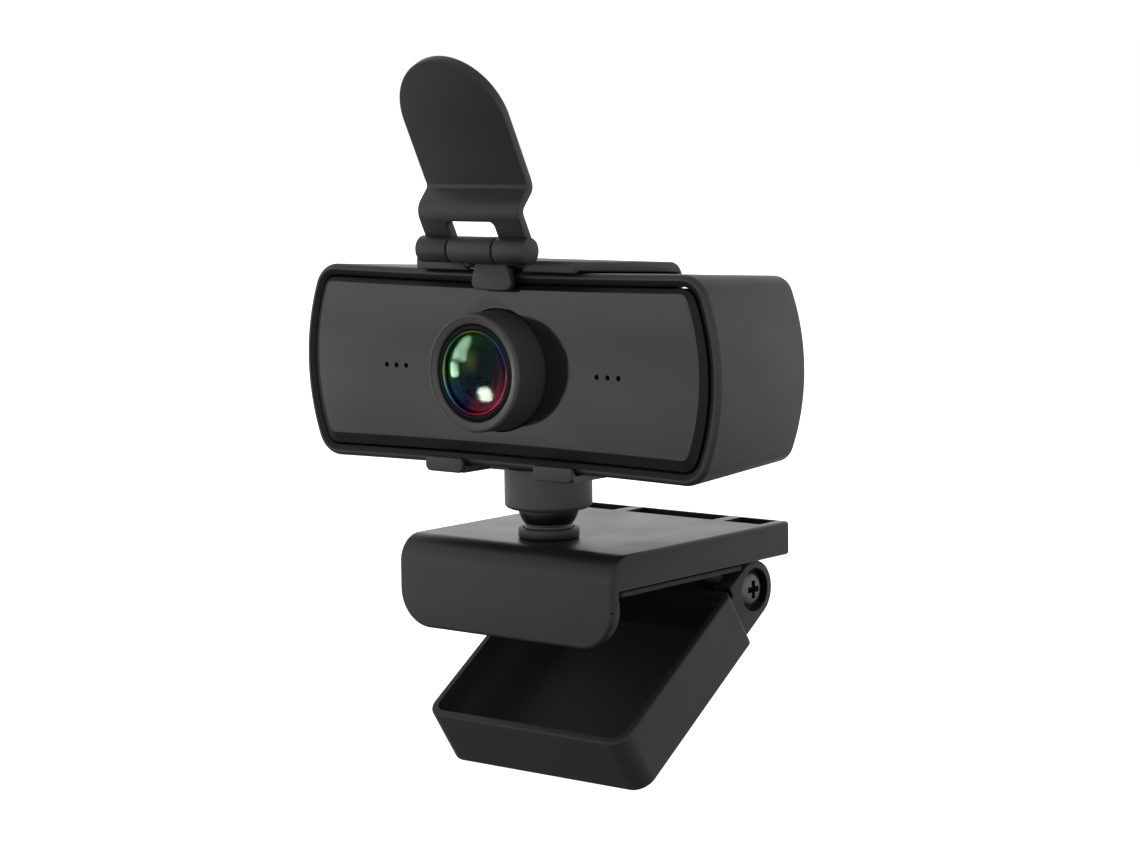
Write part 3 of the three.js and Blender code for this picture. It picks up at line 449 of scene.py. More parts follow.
def metal(name, colour, roughness):
    """Plated steel with fine drawn lines."""
    n = Nodes(name)
    mapping = n.add("ShaderNodeMapping", Vector=n.place)
    mapping.inputs["Scale"].default_value = DRAWN_LINES
    lines = n.add("ShaderNodeTexNoise", Vector=mapping.outputs["Vector"], Scale=3000.0, Detail=3.0)
    fac = lines.outputs["Fac"]
    n.set(
        Base_Color=n.ramp(fac, [(0.3, shade(colour, 0.85)), (0.7, colour)]),
        Roughness=n.between(fac, roughness - 0.06, roughness + 0.08, 0.3, 0.7),
        Metallic=1.0,
        Normal=n.bump(fac, 0.15, 0.01),
    )
    return n.material


def circuit_board(name):
    """Green solder mask over copper tracks."""
    n = Nodes(name)
    bricks = n.add(
        "ShaderNodeTexBrick", Vector=n.place, Scale=260.0,
        Color1=(0.010, 0.085, 0.035, 1), Color2=(0.014, 0.105, 0.045, 1), Mortar=(0.03, 0.17, 0.07, 1),
    )
    n.put(bricks.inputs["Mortar Size"], 0.02)
    n.set(
        Base_Color=bricks.outputs["Color"],
        Roughness=n.between(n.noise(1.5), 0.3, 0.5, 0.3, 0.7),
        Normal=n.bump(bricks.outputs["Fac"], 0.4, 0.03),
    )
    return n.material


def chip(name, colour):
    """Moulded package with a laser-dulled top."""
    n = Nodes(name)
    fine = n.noise(0.2, 3.0)
    n.set(
        Base_Color=n.ramp(fine, [(0.3, shade(colour, 0.8)), (0.7, shade(colour, 1.3))]),
        Roughness=n.between(n.noise(3.0), 0.45, 0.6, 0.3, 0.7),
        Normal=n.bump(fine, 0.3, 0.01),
    )
    return n.material


def polar(n, centre):
    """Angle (0 to 1, from the left through the bottom) and radius in millimetres about the lens axis."""
    split = n.add("ShaderNodeSeparateXYZ", Vector=n.place)

    def math_node(kind, a, b=0.0):
        node = n.tree.nodes.new("ShaderNodeMath")
        node.operation = kind
        n.put(node.inputs[0], a)
        n.put(node.inputs[1], b)
        return node.outputs["Value"]

    x = math_node("DIVIDE", split.outputs["X"], MM)
    z = math_node("SUBTRACT", math_node("DIVIDE", split.outputs["Z"], MM), centre.z)
    angle = math_node("ADD", math_node("DIVIDE", math_node("ARCTAN2", z, x), 2 * math.pi), 0.5)
    squared = math_node("ADD", math_node("POWER", x, 2.0), math_node("POWER", z, 2.0))
    return angle, math_node("SQRT", squared)


# painted reflections of the lens coating, as colours round the clock: left, bottom, right, top and left again
EDGE_PAINTED_REFLECTIONS = [
    (0.00, (0.20, 0.34, 0.05)),
    (0.08, (0.06, 0.22, 0.34)),
    (0.16, (0.04, 0.05, 0.26)),
    (0.20, (0.22, 0.01, 0.09)),
    (0.25, (0.42, 0.01, 0.04)),
    (0.35, (0.50, 0.01, 0.04)),
    (0.46, (0.42, 0.01, 0.04)),
    (0.52, (0.10, 0.04, 0.12)),
    (0.58, (0.03, 0.06, 0.34)),
    (0.68, (0.05, 0.30, 0.24)),
    (0.76, (0.50, 0.52, 0.06)),
    (0.84, (0.08, 0.42, 0.16)),
    (0.94, (0.10, 0.40, 0.14)),
    (1.00, (0.20, 0.34, 0.05)),
]
# painted reflections of the coating inside the lens, dark, round the clock as above
INNER_PAINTED_REFLECTIONS = [
    (0.00, (0.010, 0.040, 0.006)),
    (0.08, (0.003, 0.020, 0.036)),
    (0.17, (0.004, 0.004, 0.022)),
    (0.25, (0.075, 0.008, 0.012)),
    (0.33, (0.100, 0.012, 0.028)),
    (0.42, (0.110, 0.012, 0.026)),
    (0.50, (0.034, 0.005, 0.006)),
    (0.58, (0.002, 0.004, 0.020)),
    (0.67, (0.003, 0.015, 0.012)),
    (0.76, (0.008, 0.034, 0.006)),
    (0.84, (0.012, 0.070, 0.030)),
    (0.92, (0.016, 0.060, 0.024)),
    (1.00, (0.010, 0.040, 0.006)),
]


PAINTED_REFLECTION_REACH = 7.0
PAINTED_PUPIL_EDGE = (2.6, 3.2)
PAINTED_GLINT_PLACE = Vector((-1.7, -15.6, 1.5))
PAINTED_GLINT_RADIUS = 1.9
PAINTED_GLINT_COLOUR = (0.040, 0.046, 0.010)


def coated_glass(name, ior):
    """Clear glass with a faint uneven polish and a green coating reflection."""
    n = Nodes(name)
    tint = (0.93, 0.97, 1.0)
    n.set(
        Base_Color=n.ramp(n.noise(3.0), [(0.3, shade(tint, 0.97)), (0.7, tint)]),
        Roughness=0.0,
        Transmission_Weight=1.0,
        IOR=ior,
        Specular_Tint=(0.72, 1.0, 0.78, 1),
    )
    return n.material


def painted_reflection_film(name, colours, stops, painted_dark_pupil=None, roughness=0.2):
    """Coloured metal film on a lens surface, with the coating's reflections painted into its colour round the
    axis. The stops give its strength from the axis to the rim.
    """
    n = Nodes(name)
    angle, radius = polar(n, LENS_AXIS)
    colour = n.ramp(angle, colours)
    band = n.ramp(
        n.between(radius, 0.0, 1.0, 0.0, PAINTED_REFLECTION_REACH), [(r / PAINTED_REFLECTION_REACH, (v, v, v)) for r, v in stops]
    )
    painted_film = n.mix(colour, band, "MULTIPLY", 1.0)
    # Painted shade: inside the pupil edge the film is painted near black, as the unlit lens inside looks.
    if painted_dark_pupil:
        inside = n.between(radius, 1.0, 0.0, *PAINTED_PUPIL_EDGE)
        painted_film = n.mix(painted_film, (*painted_dark_pupil, 1), "MIX", inside)
        # Painted glint: a soft yellowish spot is added to the colour at the upper left of the pupil.
        spread = n.add("ShaderNodeVectorMath", Vector=n.place)
        spread.operation = "DISTANCE"
        spread.inputs[1].default_value = (LENS_AXIS + PAINTED_GLINT_PLACE) * MM
        painted_glint = n.between(spread.outputs["Value"], 1.0, 0.0, 0.2 * MM, PAINTED_GLINT_RADIUS * MM)
        painted_film = n.mix(painted_film, (*PAINTED_GLINT_COLOUR, 1), "ADD", painted_glint)
    n.set(
        Base_Color=painted_film,
        Roughness=n.between(n.noise(1.2), roughness - 0.04, roughness + 0.04, 0.3, 0.7),
        Metallic=1.0,
    )
    return n.material


JET = (0.004, 0.004, 0.0042)
NEAR_BLACK = (0.0085, 0.0085, 0.0088)
SOFT_BLACK = (0.0095, 0.0095, 0.0098)
CHARCOAL = (0.0105, 0.0105, 0.0108)
LEG_BLACK = (0.0145, 0.0145, 0.015)
BRACKET_BLACK = (0.015, 0.015, 0.0154)
DARK_GREY = (0.030, 0.030, 0.031)
RING_GREY = (0.032, 0.032, 0.033)
# painted light: a lighter grey for the cup, to lift it out of its shade
CUP_LIGHTENED_GREY = (0.040, 0.040, 0.041)

shell_plastic = plastic("shell_plastic", CHARCOAL, 0.46, grain=0.22, depth=0.008, specular=0.46)
tube_plastic = plastic("tube_plastic", DARK_GREY, 0.5, grain=0.2, depth=0.006, specular=0.46)
ring_plastic = plastic("ring_plastic", RING_GREY, 0.45, grain=0.2, depth=0.004, specular=0.5)
cell_plastic = plastic("cell_plastic", JET, 0.5, grain=0.2, depth=0.004, specular=0.12)
panel_plastic = plastic("panel_plastic", NEAR_BLACK, 0.10, grain=0.5, depth=0.0004)
bracket_plastic = plastic("bracket_plastic", BRACKET_BLACK, 0.48, grain=0.20, depth=0.006, specular=0.46)
cover_plastic = plastic("cover_plastic", NEAR_BLACK, 0.46, grain=0.20, depth=0.006, specular=0.45)
clip_plastic = plastic(
    "textured_plastic", SOFT_BLACK, 0.36, grain=0.36, depth=0.012, strength=0.6, specular=0.35
)
leg_plastic = plastic("leg_plastic", LEG_BLACK, 0.54, grain=0.3, depth=0.012, specular=0.30)
# painted light: a lighter copy of the bracket plastic for the cup
cup_lightened_plastic = plastic("cup_lightened_plastic", CUP_LIGHTENED_GREY, 0.5, grain=0.2, depth=0.006, specular=0.42)
# painted shade: a darker, duller copy of the plastic, given to faces that sit in shade
shade_painted_plastic = plastic("shade_painted_plastic", JET, 0.5, grain=0.2, depth=0.004, specular=0.2)
# painted shade: a darker, duller copy of the clip plastic for its side faces
clip_side_shade_plastic = plastic("clip_side_shade_plastic", NEAR_BLACK, 0.44, grain=0.36, depth=0.012, specular=0.2)
black_plastic = plastic("black_plastic", JET, 0.40, grain=0.18, depth=0.006, specular=0.35)
ball_plastic = plastic("ball_plastic", JET, 0.34, grain=0.6, depth=0.004, specular=0.5)
liner_plastic = plastic("liner_plastic", JET, 0.55)
pad_rubber = rubber("pad_rubber", (0.012, 0.012, 0.013))
bright_steel = metal("bright_steel", (0.55, 0.56, 0.57), 0.34)
dark_screw_steel = metal("dark_screw_steel", (0.11, 0.11, 0.115), 0.42)
board_green = circuit_board("circuit_board")
chip_black = chip("chip_black", (0.012, 0.012, 0.014))
lens_glass = coated_glass("coated_glass", 1.08)

SLOT_FINISH = {
    "shell_plastic": shell_plastic,
    "textured_plastic": clip_plastic,
    "bracket_plastic": bracket_plastic,
    "panel_plastic": panel_plastic,
    "black_plastic": black_plastic,
    "ball_plastic": ball_plastic,
    "liner_plastic": liner_plastic,
    "pad_rubber": pad_rubber,
    "coated_glass": lens_glass,
    "chip_black": chip_black,
    "circuit_board": board_green,
    "bright_steel": bright_steel,
    "dark_screw_steel": dark_screw_steel,
}

for row in frame["record"]["subparts"]:
    node = frame["nodes"][row["node"]]
    node.data.materials.clear()
    node.data.materials.append(SLOT_FINISH[row["material_slot"]])

for name in ("lens_mount", "lens_spacer", "aperture_stop", "lens_cell"):
    for face in frame["nodes"][name].data.polygons:
        face.use_smooth = True
    frame["nodes"][name].data.set_sharp_from_angle(angle=math.radians(35))


# ---------------------------------------------------------------- camera head
RIM_ROUND = 0.9
BEVEL_INSET = 1.75
SHELL_WALL = 1.8
PANEL_INSET = 2.1
FACE_INSET = 3.28
FACE_RISE = 0.53
MIC_X = 20.7
MIC_PITCH = 2.0
MIC_RADIUS = 0.4
MIC_DROP = 0.15
PANEL_BACK = -9.6
LENS_HOLE = 9.3
CLAMP_X = 32.6
CLAMP_DZ = 7.0
COVER_BACK_Y = span("rear_cover")[1].y
CORNERS = [(-1, -1), (1, -1), (-1, 1), (1, 1)]


def head_shell():
    rings = []
    for y, z in arc(0, 0, RIM_ROUND, 0, 90, 8):
        y_here = HEAD_FRONT + RIM_ROUND - z
        rings.append((y_here, taper(y_here) + RIM_ROUND - y, 0))
    rings += [
        (HEAD_FRONT + 0.04, 1.0, 0),
        (HEAD_FRONT + 0.33, BEVEL_INSET - 0.06, 0),
        (HEAD_FRONT + 0.38, BEVEL_INSET, 0),
        (HEAD_FRONT + 0.48, SHELL_WALL, 0),
        (HEAD_REAR - 0.1, taper(HEAD_REAR) + SHELL_WALL, 0),
        (HEAD_REAR, taper(HEAD_REAR) + SHELL_WALL - 0.1, 0),
    ]
    for z, y in arc(0, 0, 0.8, 90, 0, 8):
        y_here = HEAD_REAR - 0.8 + y
        rings.append((y_here, taper(y_here) + 0.8 - z, 0))
    return head_skin("sleeve", rings, closed=True)


sleeve = head_shell()
hand_over(sleeve, shell_plastic, "head", "shell_plastic", "head_shell", sharp=40)
# Painted shade: the rim's inward faces near the front take the darker, duller plastic.
refinish(sleeve, shade_painted_plastic, lambda normal, centre: (
    centre.y < HEAD_FRONT + 2 and normal.dot(LENS_AXIS + Vector((0, centre.y, 0)) - centre) > 0
))


def front_panel():
    panel = head_skin("face_panel", [
        (PANEL_FRONT, FACE_INSET, FACE_RISE),
        (PANEL_FRONT + 0.02, FACE_INSET - 0.08, FACE_RISE - 0.015),
        (PANEL_FRONT + 0.08, FACE_INSET - 0.16, FACE_RISE - 0.03),
        (PANEL_FRONT + 0.5, PANEL_INSET + 0.1, 0.05),
        (PANEL_FRONT + 0.56, PANEL_INSET + 0.02, 0.03),
        (PANEL_FRONT + 0.70, PANEL_INSET, 0),
        (PANEL_BACK, PANEL_INSET, 0),
    ])
    before, behind = PANEL_FRONT - 1, PANEL_BACK + 0.6
    tools = [rod("hole", LENS_HOLE, "Y", before, behind, 0, HEAD_Z, 128)]
    for side in (-1, 1):
        for step in (-1, 0, 1):
            x = side * MIC_X + step * MIC_PITCH
            tools.append(rod("hole", MIC_RADIUS, "Y", before, behind, x, HEAD_Z - MIC_DROP, 24))
    return cut(panel, *tools)


panel = front_panel()
hand_over(panel, panel_plastic, "head", "panel_plastic", "front_panel", sharp=25)
# Painted shade: the panel's bevels and the walls of its holes take the darker, duller plastic.
refinish(panel, shade_painted_plastic, lambda normal, centre: normal.y > -0.98)


def rear_cover():
    inset = PANEL_INSET + HEAD_TAPER
    rings = [(10.2, inset, 0), (COVER_BACK_Y - 0.7, inset, 0)]
    for y, z in arc(0, 0, 0.7, 0, 90, 6):
        rings.append((COVER_BACK_Y - 0.7 + z, inset + 0.7 - y, 0))
    cover = head_skin("back_cover", rings)
    tools = [rod("hole", 3.2, "Y", 9, COVER_BACK_Y + 1, 0, HEAD_Z, 64)]
    for a, b in CORNERS:
        x, z = a * CLAMP_X, HEAD_Z + b * CLAMP_DZ
        tools.append(rod("hole", 2.3, "Y", COVER_BACK_Y - 1.2, COVER_BACK_Y + 1, x, z, 40))
        tools.append(rod("hole", 1.2, "Y", 9, COVER_BACK_Y, x, z, 24))
    return cut(cover, *tools)


hand_over(rear_cover(), shell_plastic, "head", "shell_plastic", "rear_cover", sharp=28)


def screw(name, head_radius, head_height, shank_radius, length):
    """Pan head screw along Z with a cross recess; the head stands up from z = 0."""
    h = head_height
    crown = [(0, h)] + [
        (head_radius * s, h * (1 - 0.55 * s ** 4)) for s in (0.3, 0.5, 0.65, 0.78, 0.88, 0.95, 0.99)
    ]
    body = turned(name, [
        (0, -length),
        (shank_radius * 0.7, -length),
        (shank_radius, -length + 0.3),
        (shank_radius, 0),
        (head_radius * 0.98, 0),
        (head_radius, 0.06),
        (head_radius, h * 0.40),
    ] + crown[::-1], "Z", Vector((0, 0, 0)), 56)
    arm = head_radius * 0.52
    half = head_radius * 0.17
    bottom = -0.4
    return cut(
        body,
        block("slot", -arm, arm, -half, half, bottom, h + 1),
        block("slot", -half, half, -arm, arm, bottom, h + 1),
    )


BACK_SCREW_SEAT = COVER_BACK_Y - 1.15
for k, (a, b) in enumerate(CORNERS):
    fixing = screw(
        f"back_screw_{k + 1}", head_radius=1.9, head_height=0.95, shank_radius=0.9, length=6.5
    )
    turn_about(fixing, "X", -90, Vector((0, 0, 0)))
    shift(fixing, a * CLAMP_X, BACK_SCREW_SEAT, HEAD_Z + b * CLAMP_DZ)
    hand_over(
        fixing, dark_screw_steel, "head", "dark_screw_steel", f"rear_cover_screw_{k + 1}", sharp=30
    )

grommet = turned("cable_bush", [
    (1.9, 9.5),
    (2.95, 9.5),
    (2.95, COVER_BACK_Y + 0.03),
    (3.8, COVER_BACK_Y + 0.03),
    (3.88, COVER_BACK_Y + 0.15),
    (3.88, COVER_BACK_Y + 0.45),
    (3.7, COVER_BACK_Y + 0.72),
    (3.45, COVER_BACK_Y + 0.8),
    (2.2, COVER_BACK_Y + 0.8),
    (1.98, COVER_BACK_Y + 0.7),
    (1.9, COVER_BACK_Y + 0.5),
], "Y", LENS_AXIS)
hand_over(grommet, pad_rubber, "head", "pad_rubber", "cable_grommet")


# ---------------------------------------------------------------- lens
F = BARREL_FRONT
barrel = turned("lens_tube", [
    (7.0, -8.2),
    (9.9, -8.2),
    (9.9, -9.25),
    (9.0, -9.25),
    (9.0, PANEL_FRONT),
    (8.86, F + 0.52),
    (8.83, F + 0.34),
    (8.72, F + 0.16),
    (8.55, F + 0.05),
    (8.40, F),
    (8.26, F + 0.03),
    (8.14, F + 0.12),
    (8.14, F + 1.7),
    (7.0, F + 1.7),
], "Y", LENS_AXIS, 160)
hand_over(barrel, tube_plastic, "head", "bracket_plastic", "lens_barrel", sharp=35)

ring = turned("lens_face_ring", [
    (7.3, F + 0.62),
    (7.34, F + 0.42),
    (7.44, F + 0.32),
    (8.16, F + 0.14),
    (8.16, F + 1.6),
    (7.3, F + 1.6),
], "Y", LENS_AXIS, 160)
hand_over(ring, ring_plastic, "head", "black_plastic", "lens_front_ring", sharp=35)

cell = turned("lens_cell_tube", [
    (6.36, -16.3),
    (6.42, -16.72),
    (6.6, -16.86),
    (6.8, -16.8),
    (7.28, -16.5),
    (7.28, -15.8),
    (6.85, -15.5),
    (6.85, -5.0),
    (6.15, -5.0),
    (6.15, -16.3),
], "Y", LENS_AXIS, 128)
hand_over(cell, cell_plastic, "head", "black_plastic", "lens_cell", sharp=35)


def dome(name, rim, edge_front, vertex_front, edge_rear, vertex_rear, steps=18):
    """Lens element between two shallow spherical faces."""
    def face(edge, vertex):
        return [(rim * k / steps, vertex + (edge - vertex) * (k / steps) ** 2) for k in range(steps + 1)]
    profile = face(edge_front, vertex_front) + face(edge_rear, vertex_rear)[::-1]
    return turned(name, profile, "Y", LENS_AXIS, 128)


# Painted reflections: the coating's colours round the edge ring, and dark coloured rings with a dark pupil on the
# second lens.
ring_painted_reflections = painted_reflection_film("ring_painted_reflections", EDGE_PAINTED_REFLECTIONS, [(0.0, 0.8), (7.0, 0.8)], roughness=0.32)
bowl_painted_reflections = painted_reflection_film("bowl_painted_reflections", INNER_PAINTED_REFLECTIONS, [
    (0.0, 0.15), (2.9, 0.2), (3.05, 1.0), (3.25, 0.15), (4.1, 0.2),
    (4.3, 1.6), (4.5, 0.4), (5.1, 0.7), (5.5, 1.1), (5.75, 0.4),
], painted_dark_pupil=(0.001, 0.004, 0.006))
front_element = dome(
    "front_element",
    rim=5.95,
    edge_front=-16.15,
    vertex_front=-17.25,
    edge_rear=-15.75,
    vertex_rear=-16.05,
)
hand_over(front_element, lens_glass, "head", "coated_glass", "front_lens", sharp=60)

edge_ring = turned("edge_ring", [
    (6.0, -16.2),
    (6.04, -16.6),
    (6.12, -16.78),
    (6.22, -16.8),
    (6.32, -16.68),
    (6.34, -16.2),
], "Y", LENS_AXIS, 128)
hand_over(edge_ring, ring_painted_reflections, "head", "coated_glass", sharp=60)

BOWL_STEPS = 24
BOWL_RADIUS = 5.9
BOWL_MIDDLE = -15.55
BOWL_RISE = 0.45
BOWL_THICK = 0.35
bowl_front = [
    (BOWL_RADIUS * k / BOWL_STEPS, BOWL_MIDDLE - BOWL_RISE * (k / BOWL_STEPS) ** 2)
    for k in range(BOWL_STEPS + 1)
]
bowl_back = [(r, y + BOWL_THICK) for r, y in bowl_front]
bowl = turned("coated_element", bowl_front + bowl_back[::-1], "Y", LENS_AXIS, 128)
hand_over(bowl, bowl_painted_reflections, "head", "coated_glass", "second_lens", sharp=60)
lens_only = bpy.data.collections.new("lens_only")
lens_only.objects.link(front_element)


# ---------------------------------------------------------------- brackets
HOOK_FRONT = span("lower_bracket")[0].y
HOOK_BACK = -11.05
REAR_HOOK_FRONT = 13.15
BRACKET_REAR = span("top_bracket")[1].y
HINGE_RADIUS = 2.0
HINGE_BORE = 0.8
KNUCKLE_HALF = 4.25
TOP_HALF = 15.5
TAB_FRONT, TAB_BACK = -12.75, -11.45
HOOK_INNER, HOOK_OUTER = 6.95, 14.4
HOOK_BOTTOM, HOOK_TOP = 16.85, 19.15
ARM_BOTTOM, ARM_TOP = 16.9, 17.85


def top_bracket():
    section = [(HOOK_FRONT, 47.65), (HOOK_BACK, 47.65), (HOOK_BACK, 47.95), (REAR_HOOK_FRONT, 46.55)]
    section += [(REAR_HOOK_FRONT, 42.3), (BRACKET_REAR, 42.3)]
    section += arc(BRACKET_REAR - 3.0, 45.27, 3.0, 0, 90, 12)
    section += [(HOOK_FRONT, 49.42)]
    plate = prism("top_clamp", section, "X", -TOP_HALF, TOP_HALF)
    notch = rounded([
        (-5.3, 47, 0),
        (5.3, 47, 0),
        (5.4, 48.2, 1.2),
        (7.2, 49.75, 0),
        (-7.2, 49.75, 0),
        (-5.4, 48.2, 1.2),
    ])
    cut(plate, prism("notch", notch, "Y", HOOK_FRONT - 1, HOOK_FRONT + 1.6))
    soften(plate, 0.28)
    arm = prism("arm", [
        (HINGE.y, HINGE.z - 1.9),
        (HOOK_FRONT + 2.5, 48.2),
        (HOOK_FRONT + 3.5, 49.2),
        (HOOK_FRONT, 50.2),
        (HINGE.y, HINGE.z),
    ], "X", -3.9, 3.9)
    tab_outline = rounded([
        (-4.31, 44.83, 1.25), (4.31, 44.83, 1.25), (2.9, 49.4, 1.5), (-2.9, 49.4, 1.5),
    ])
    tab = soften(prism("tab", tab_outline, "Y", TAB_FRONT, TAB_BACK), 0.25)
    knuckle = rod("knuckle", HINGE_RADIUS, "X", -KNUCKLE_HALF, KNUCKLE_HALF, HINGE.y, HINGE.z, 72)
    soften(knuckle, 0.18)
    bore = rod("bore", HINGE_BORE, "X", -6, 6, HINGE.y, HINGE.z, 32)
    return cut(join(plate, arm, tab, knuckle), bore)


hand_over(top_bracket(), bracket_plastic, "head", "bracket_plastic", "top_bracket", sharp=38)

pin = rod("hinge_pin", 0.7, "X", -9.85, 9.85, HINGE.y, HINGE.z, 32)
hand_over(soften(pin, 0.12), bright_steel, "head", "bright_steel", "cover_hinge_pin")


CUP_CAVITY = 5.42
LIP_SPHERE = 4.87


def lower_bracket():
    cup = turned("lower_clamp", [
        (0, 5.7),
        (6.75, 5.7),
        (6.75, 0.1),
        (6.68, -0.12),
        (6.52, -0.32),
        (6.28, -0.48),
        (6.0, -0.6),
        (5.6, -0.7),
        (5.2, -0.74),
        (0, -0.74),
    ], "Z", BALL, 128)
    arms = []
    for side in (-1, 1):
        x0, x1 = sorted((side * HOOK_INNER, side * HOOK_OUTER))
        front = rectangle(x0, x1, HOOK_BOTTOM, HOOK_TOP, (0.95, 0.95, 0.45, 0.45))
        arms.append(soften(prism("hook", front, "Y", HOOK_FRONT, HOOK_BACK), 0.25))
        x0, x1 = x0 + 0.05, x1 - 0.05
        arms.append(block("arm", x0, x1, HOOK_FRONT + 0.6, BRACKET_REAR - 0.4, ARM_BOTTOM, ARM_TOP))
        rear = block("hook", x0, x1, REAR_HOOK_FRONT, BRACKET_REAR, ARM_BOTTOM, HOOK_TOP)
        arms.append(soften(rear, 0.25))
    plate = soften(block("plate", -14.35, 14.35, -5.5, 6, 16.88, 17.87), 0.2)
    body = join(cup, plate, *arms)
    lip = arc(0, 0, LIP_SPHERE, -4.5, -12.6, 1)
    ceiling = [(0, CUP_CAVITY)] + arc(0, 0, CUP_CAVITY, 84, 0, 14)
    hollow = turned("hollow", ceiling + lip + [(0, lip[-1][1])], "Z", BALL, 128)
    return cut(body, hollow)


lower = lower_bracket()
# Painted light: the cup, arms and plate take the lighter grey; only the front hooks keep the bracket plastic.
hand_over(lower, cup_lightened_plastic, "head", "bracket_plastic", "lower_bracket", sharp=38)
refinish(lower, bracket_plastic, lambda normal, centre: centre.y < HOOK_BACK + 0.2)


# ---------------------------------------------------------------- lens cover
COVER_LEAN = 26.75
COVER_HALF = 9.76
COVER_LENGTH = 28.8
COVER_THICK = 1.5
COVER_KNUCKLE_END = 10.45
WINDOW_TOP = 4.35
LOW_FACE = 0.5
HIGH_FACE = 4.4
BEND_LOW = 6.5
BEND_HIGH = 8.2


def lens_cover():
    """Drawn upright with the hinge at the origin: +Z up the cover, +Y behind it."""
    slope = Vector((HIGH_FACE - LOW_FACE, BEND_HIGH - BEND_LOW)).normalized()
    dip = COVER_THICK * (1 - slope.y) / slope.x
    section = rounded([
        (LOW_FACE, 0, 0),
        (LOW_FACE, BEND_LOW, 2.6),
        (HIGH_FACE, BEND_HIGH, 0.8),
        (HIGH_FACE, COVER_LENGTH, 0),
        (HIGH_FACE + COVER_THICK, COVER_LENGTH, 0),
        (HIGH_FACE + COVER_THICK, BEND_HIGH - dip, 1.8),
        (LOW_FACE + COVER_THICK, BEND_LOW - dip, 1.1),
        (LOW_FACE + COVER_THICK, 0, 0),
    ], 8)
    cover = prism("flip_cover", section, "X", -COVER_HALF, COVER_HALF)
    outline = [(-COVER_HALF, 0), (COVER_HALF, 0)]
    outline += arc(0, COVER_LENGTH - COVER_HALF, COVER_HALF, 0, 180, 64)
    common(cover, prism("outline", outline, "Y", -2, 9))
    gap = KNUCKLE_HALF + 0.3
    window = rectangle(-gap, gap, -3, WINDOW_TOP, (0, 0, 0.8, 0.8))
    cut(cover, prism("window", window, "Y", -3, HIGH_FACE))
    soften(cover, 0.22)
    for side in (-1, 1):
        inner, outer = sorted((side * gap, side * COVER_KNUCKLE_END))
        join(cover, soften(rod("knuckle", HINGE_RADIUS, "X", inner, outer, 0, 0, 72), 0.2))
    for side in (-1, 1):
        inner, outer = sorted((side * 3.2, side * 9.95))
        cut(cover, rod("bore", HINGE_BORE, "X", inner, outer, 0, 0, 32))
    turn_about(cover, "X", COVER_LEAN, Vector((0, 0, 0)))
    return shift(cover, 0, HINGE.y, HINGE.z)


hand_over(lens_cover(), cover_plastic, "cover", "bracket_plastic", "privacy_cover", sharp=38)


# ---------------------------------------------------------------- clip
PLATE_SIDE_BOTTOM = 0.95
LIP_THICK = 2.2
CEILING = PLATE_HIGH.z - 2.0
LUG_RADIUS = 3.7
LUG_INNER, LUG_OUTER = 11.6, 14.9
PLATE_WALL = 1.4
STUD_BORE = 2.3
SLOTS_X = ((-19.2, -10.0), (-7.6, 10.0), (12.2, 19.2))
SLOT_FRONT = 28.6
BRIDGE_HALF = 11.7
BRIDGE_BOTTOM = -5.6


def clip_plate():
    front, rear = PLATE_LOW.y, PLATE_HIGH.y
    half, top, bottom = PLATE_HIGH.x, PLATE_HIGH.z, PLATE_LOW.z
    section = rounded([
        (front, bottom, 0),
        (front + LIP_THICK, bottom, 0),
        (front + LIP_THICK, PLATE_SIDE_BOTTOM, 0),
        (rear, PLATE_SIDE_BOTTOM, 0),
        (rear, top, 0),
        (front, top, 4.2),
    ], 20)
    body = prism("clip_body", section, "X", -half, half)
    envelope = rectangle(-half, half, bottom, top, (5.8, 5.8, 0, 0), 20)
    common(body, prism("envelope", envelope, "Y", front - 1, rear + 1))
    soften(body, 0.55, 4)
    bay = half - PLATE_WALL
    tools = [
        block("bay", -bay, bay, front + 3.4, 22.0, 0, CEILING),
        block("bay", -bay, bay, 23.0, rear - 1.0, 0, CEILING),
        rod("bore", STUD_BORE, "Z", 0, top + 1, 0, 0, 48),
    ]
    for x0, x1 in SLOTS_X:
        tools.append(block("slot", x0, x1, SLOT_FRONT, rear - 1.0, CEILING - 1, top + 1))
    cut(body, *tools)
    for side in (-1, 1):
        x0, x1 = sorted((side * LUG_INNER, side * LUG_OUTER))
        lug = arc(PIVOT.y, PIVOT.z, LUG_RADIUS, 180, 360, 24)
        lug += [(PIVOT.y + LUG_RADIUS, CEILING + 0.5), (PIVOT.y - LUG_RADIUS, CEILING + 0.5)]
        lug_solid = cut(
            prism("lug", lug, "X", x0, x1), rod("hole", 1.5, "X", x0 - 1, x1 + 1, PIVOT.y, PIVOT.z, 40)
        )
        join(body, lug_solid)
    lug_front = PIVOT.y - LUG_RADIUS
    bridge = [
        (lug_front + 2.4, BRIDGE_BOTTOM),
        (lug_front + 3.6, BRIDGE_BOTTOM),
        (lug_front + 1.4, 0.9),
        (lug_front, 0.9),
    ]
    return join(body, prism("bridge", bridge, "X", -BRIDGE_HALF, BRIDGE_HALF))


clip = clip_plate()
hand_over(clip, clip_plastic, "clip", "textured_plastic", "clip_plate", sharp=30)
# Painted shade: the clip's side faces take the darker, duller plastic.
refinish(clip, clip_side_shade_plastic, lambda normal, centre: abs(normal.x) > 0.9)

pad_low, pad_high = span("rest_pad")
pad_outline = rectangle(pad_low.x, pad_high.x, pad_low.y, pad_high.y, (0.6, 0.6, 1, 1))
pad = soften(prism("top_pad", pad_outline, "Z", pad_low.z, pad_high.z), 0.2)
hand_over(pad, pad_rubber, "clip", "pad_rubber", "rest_pad")

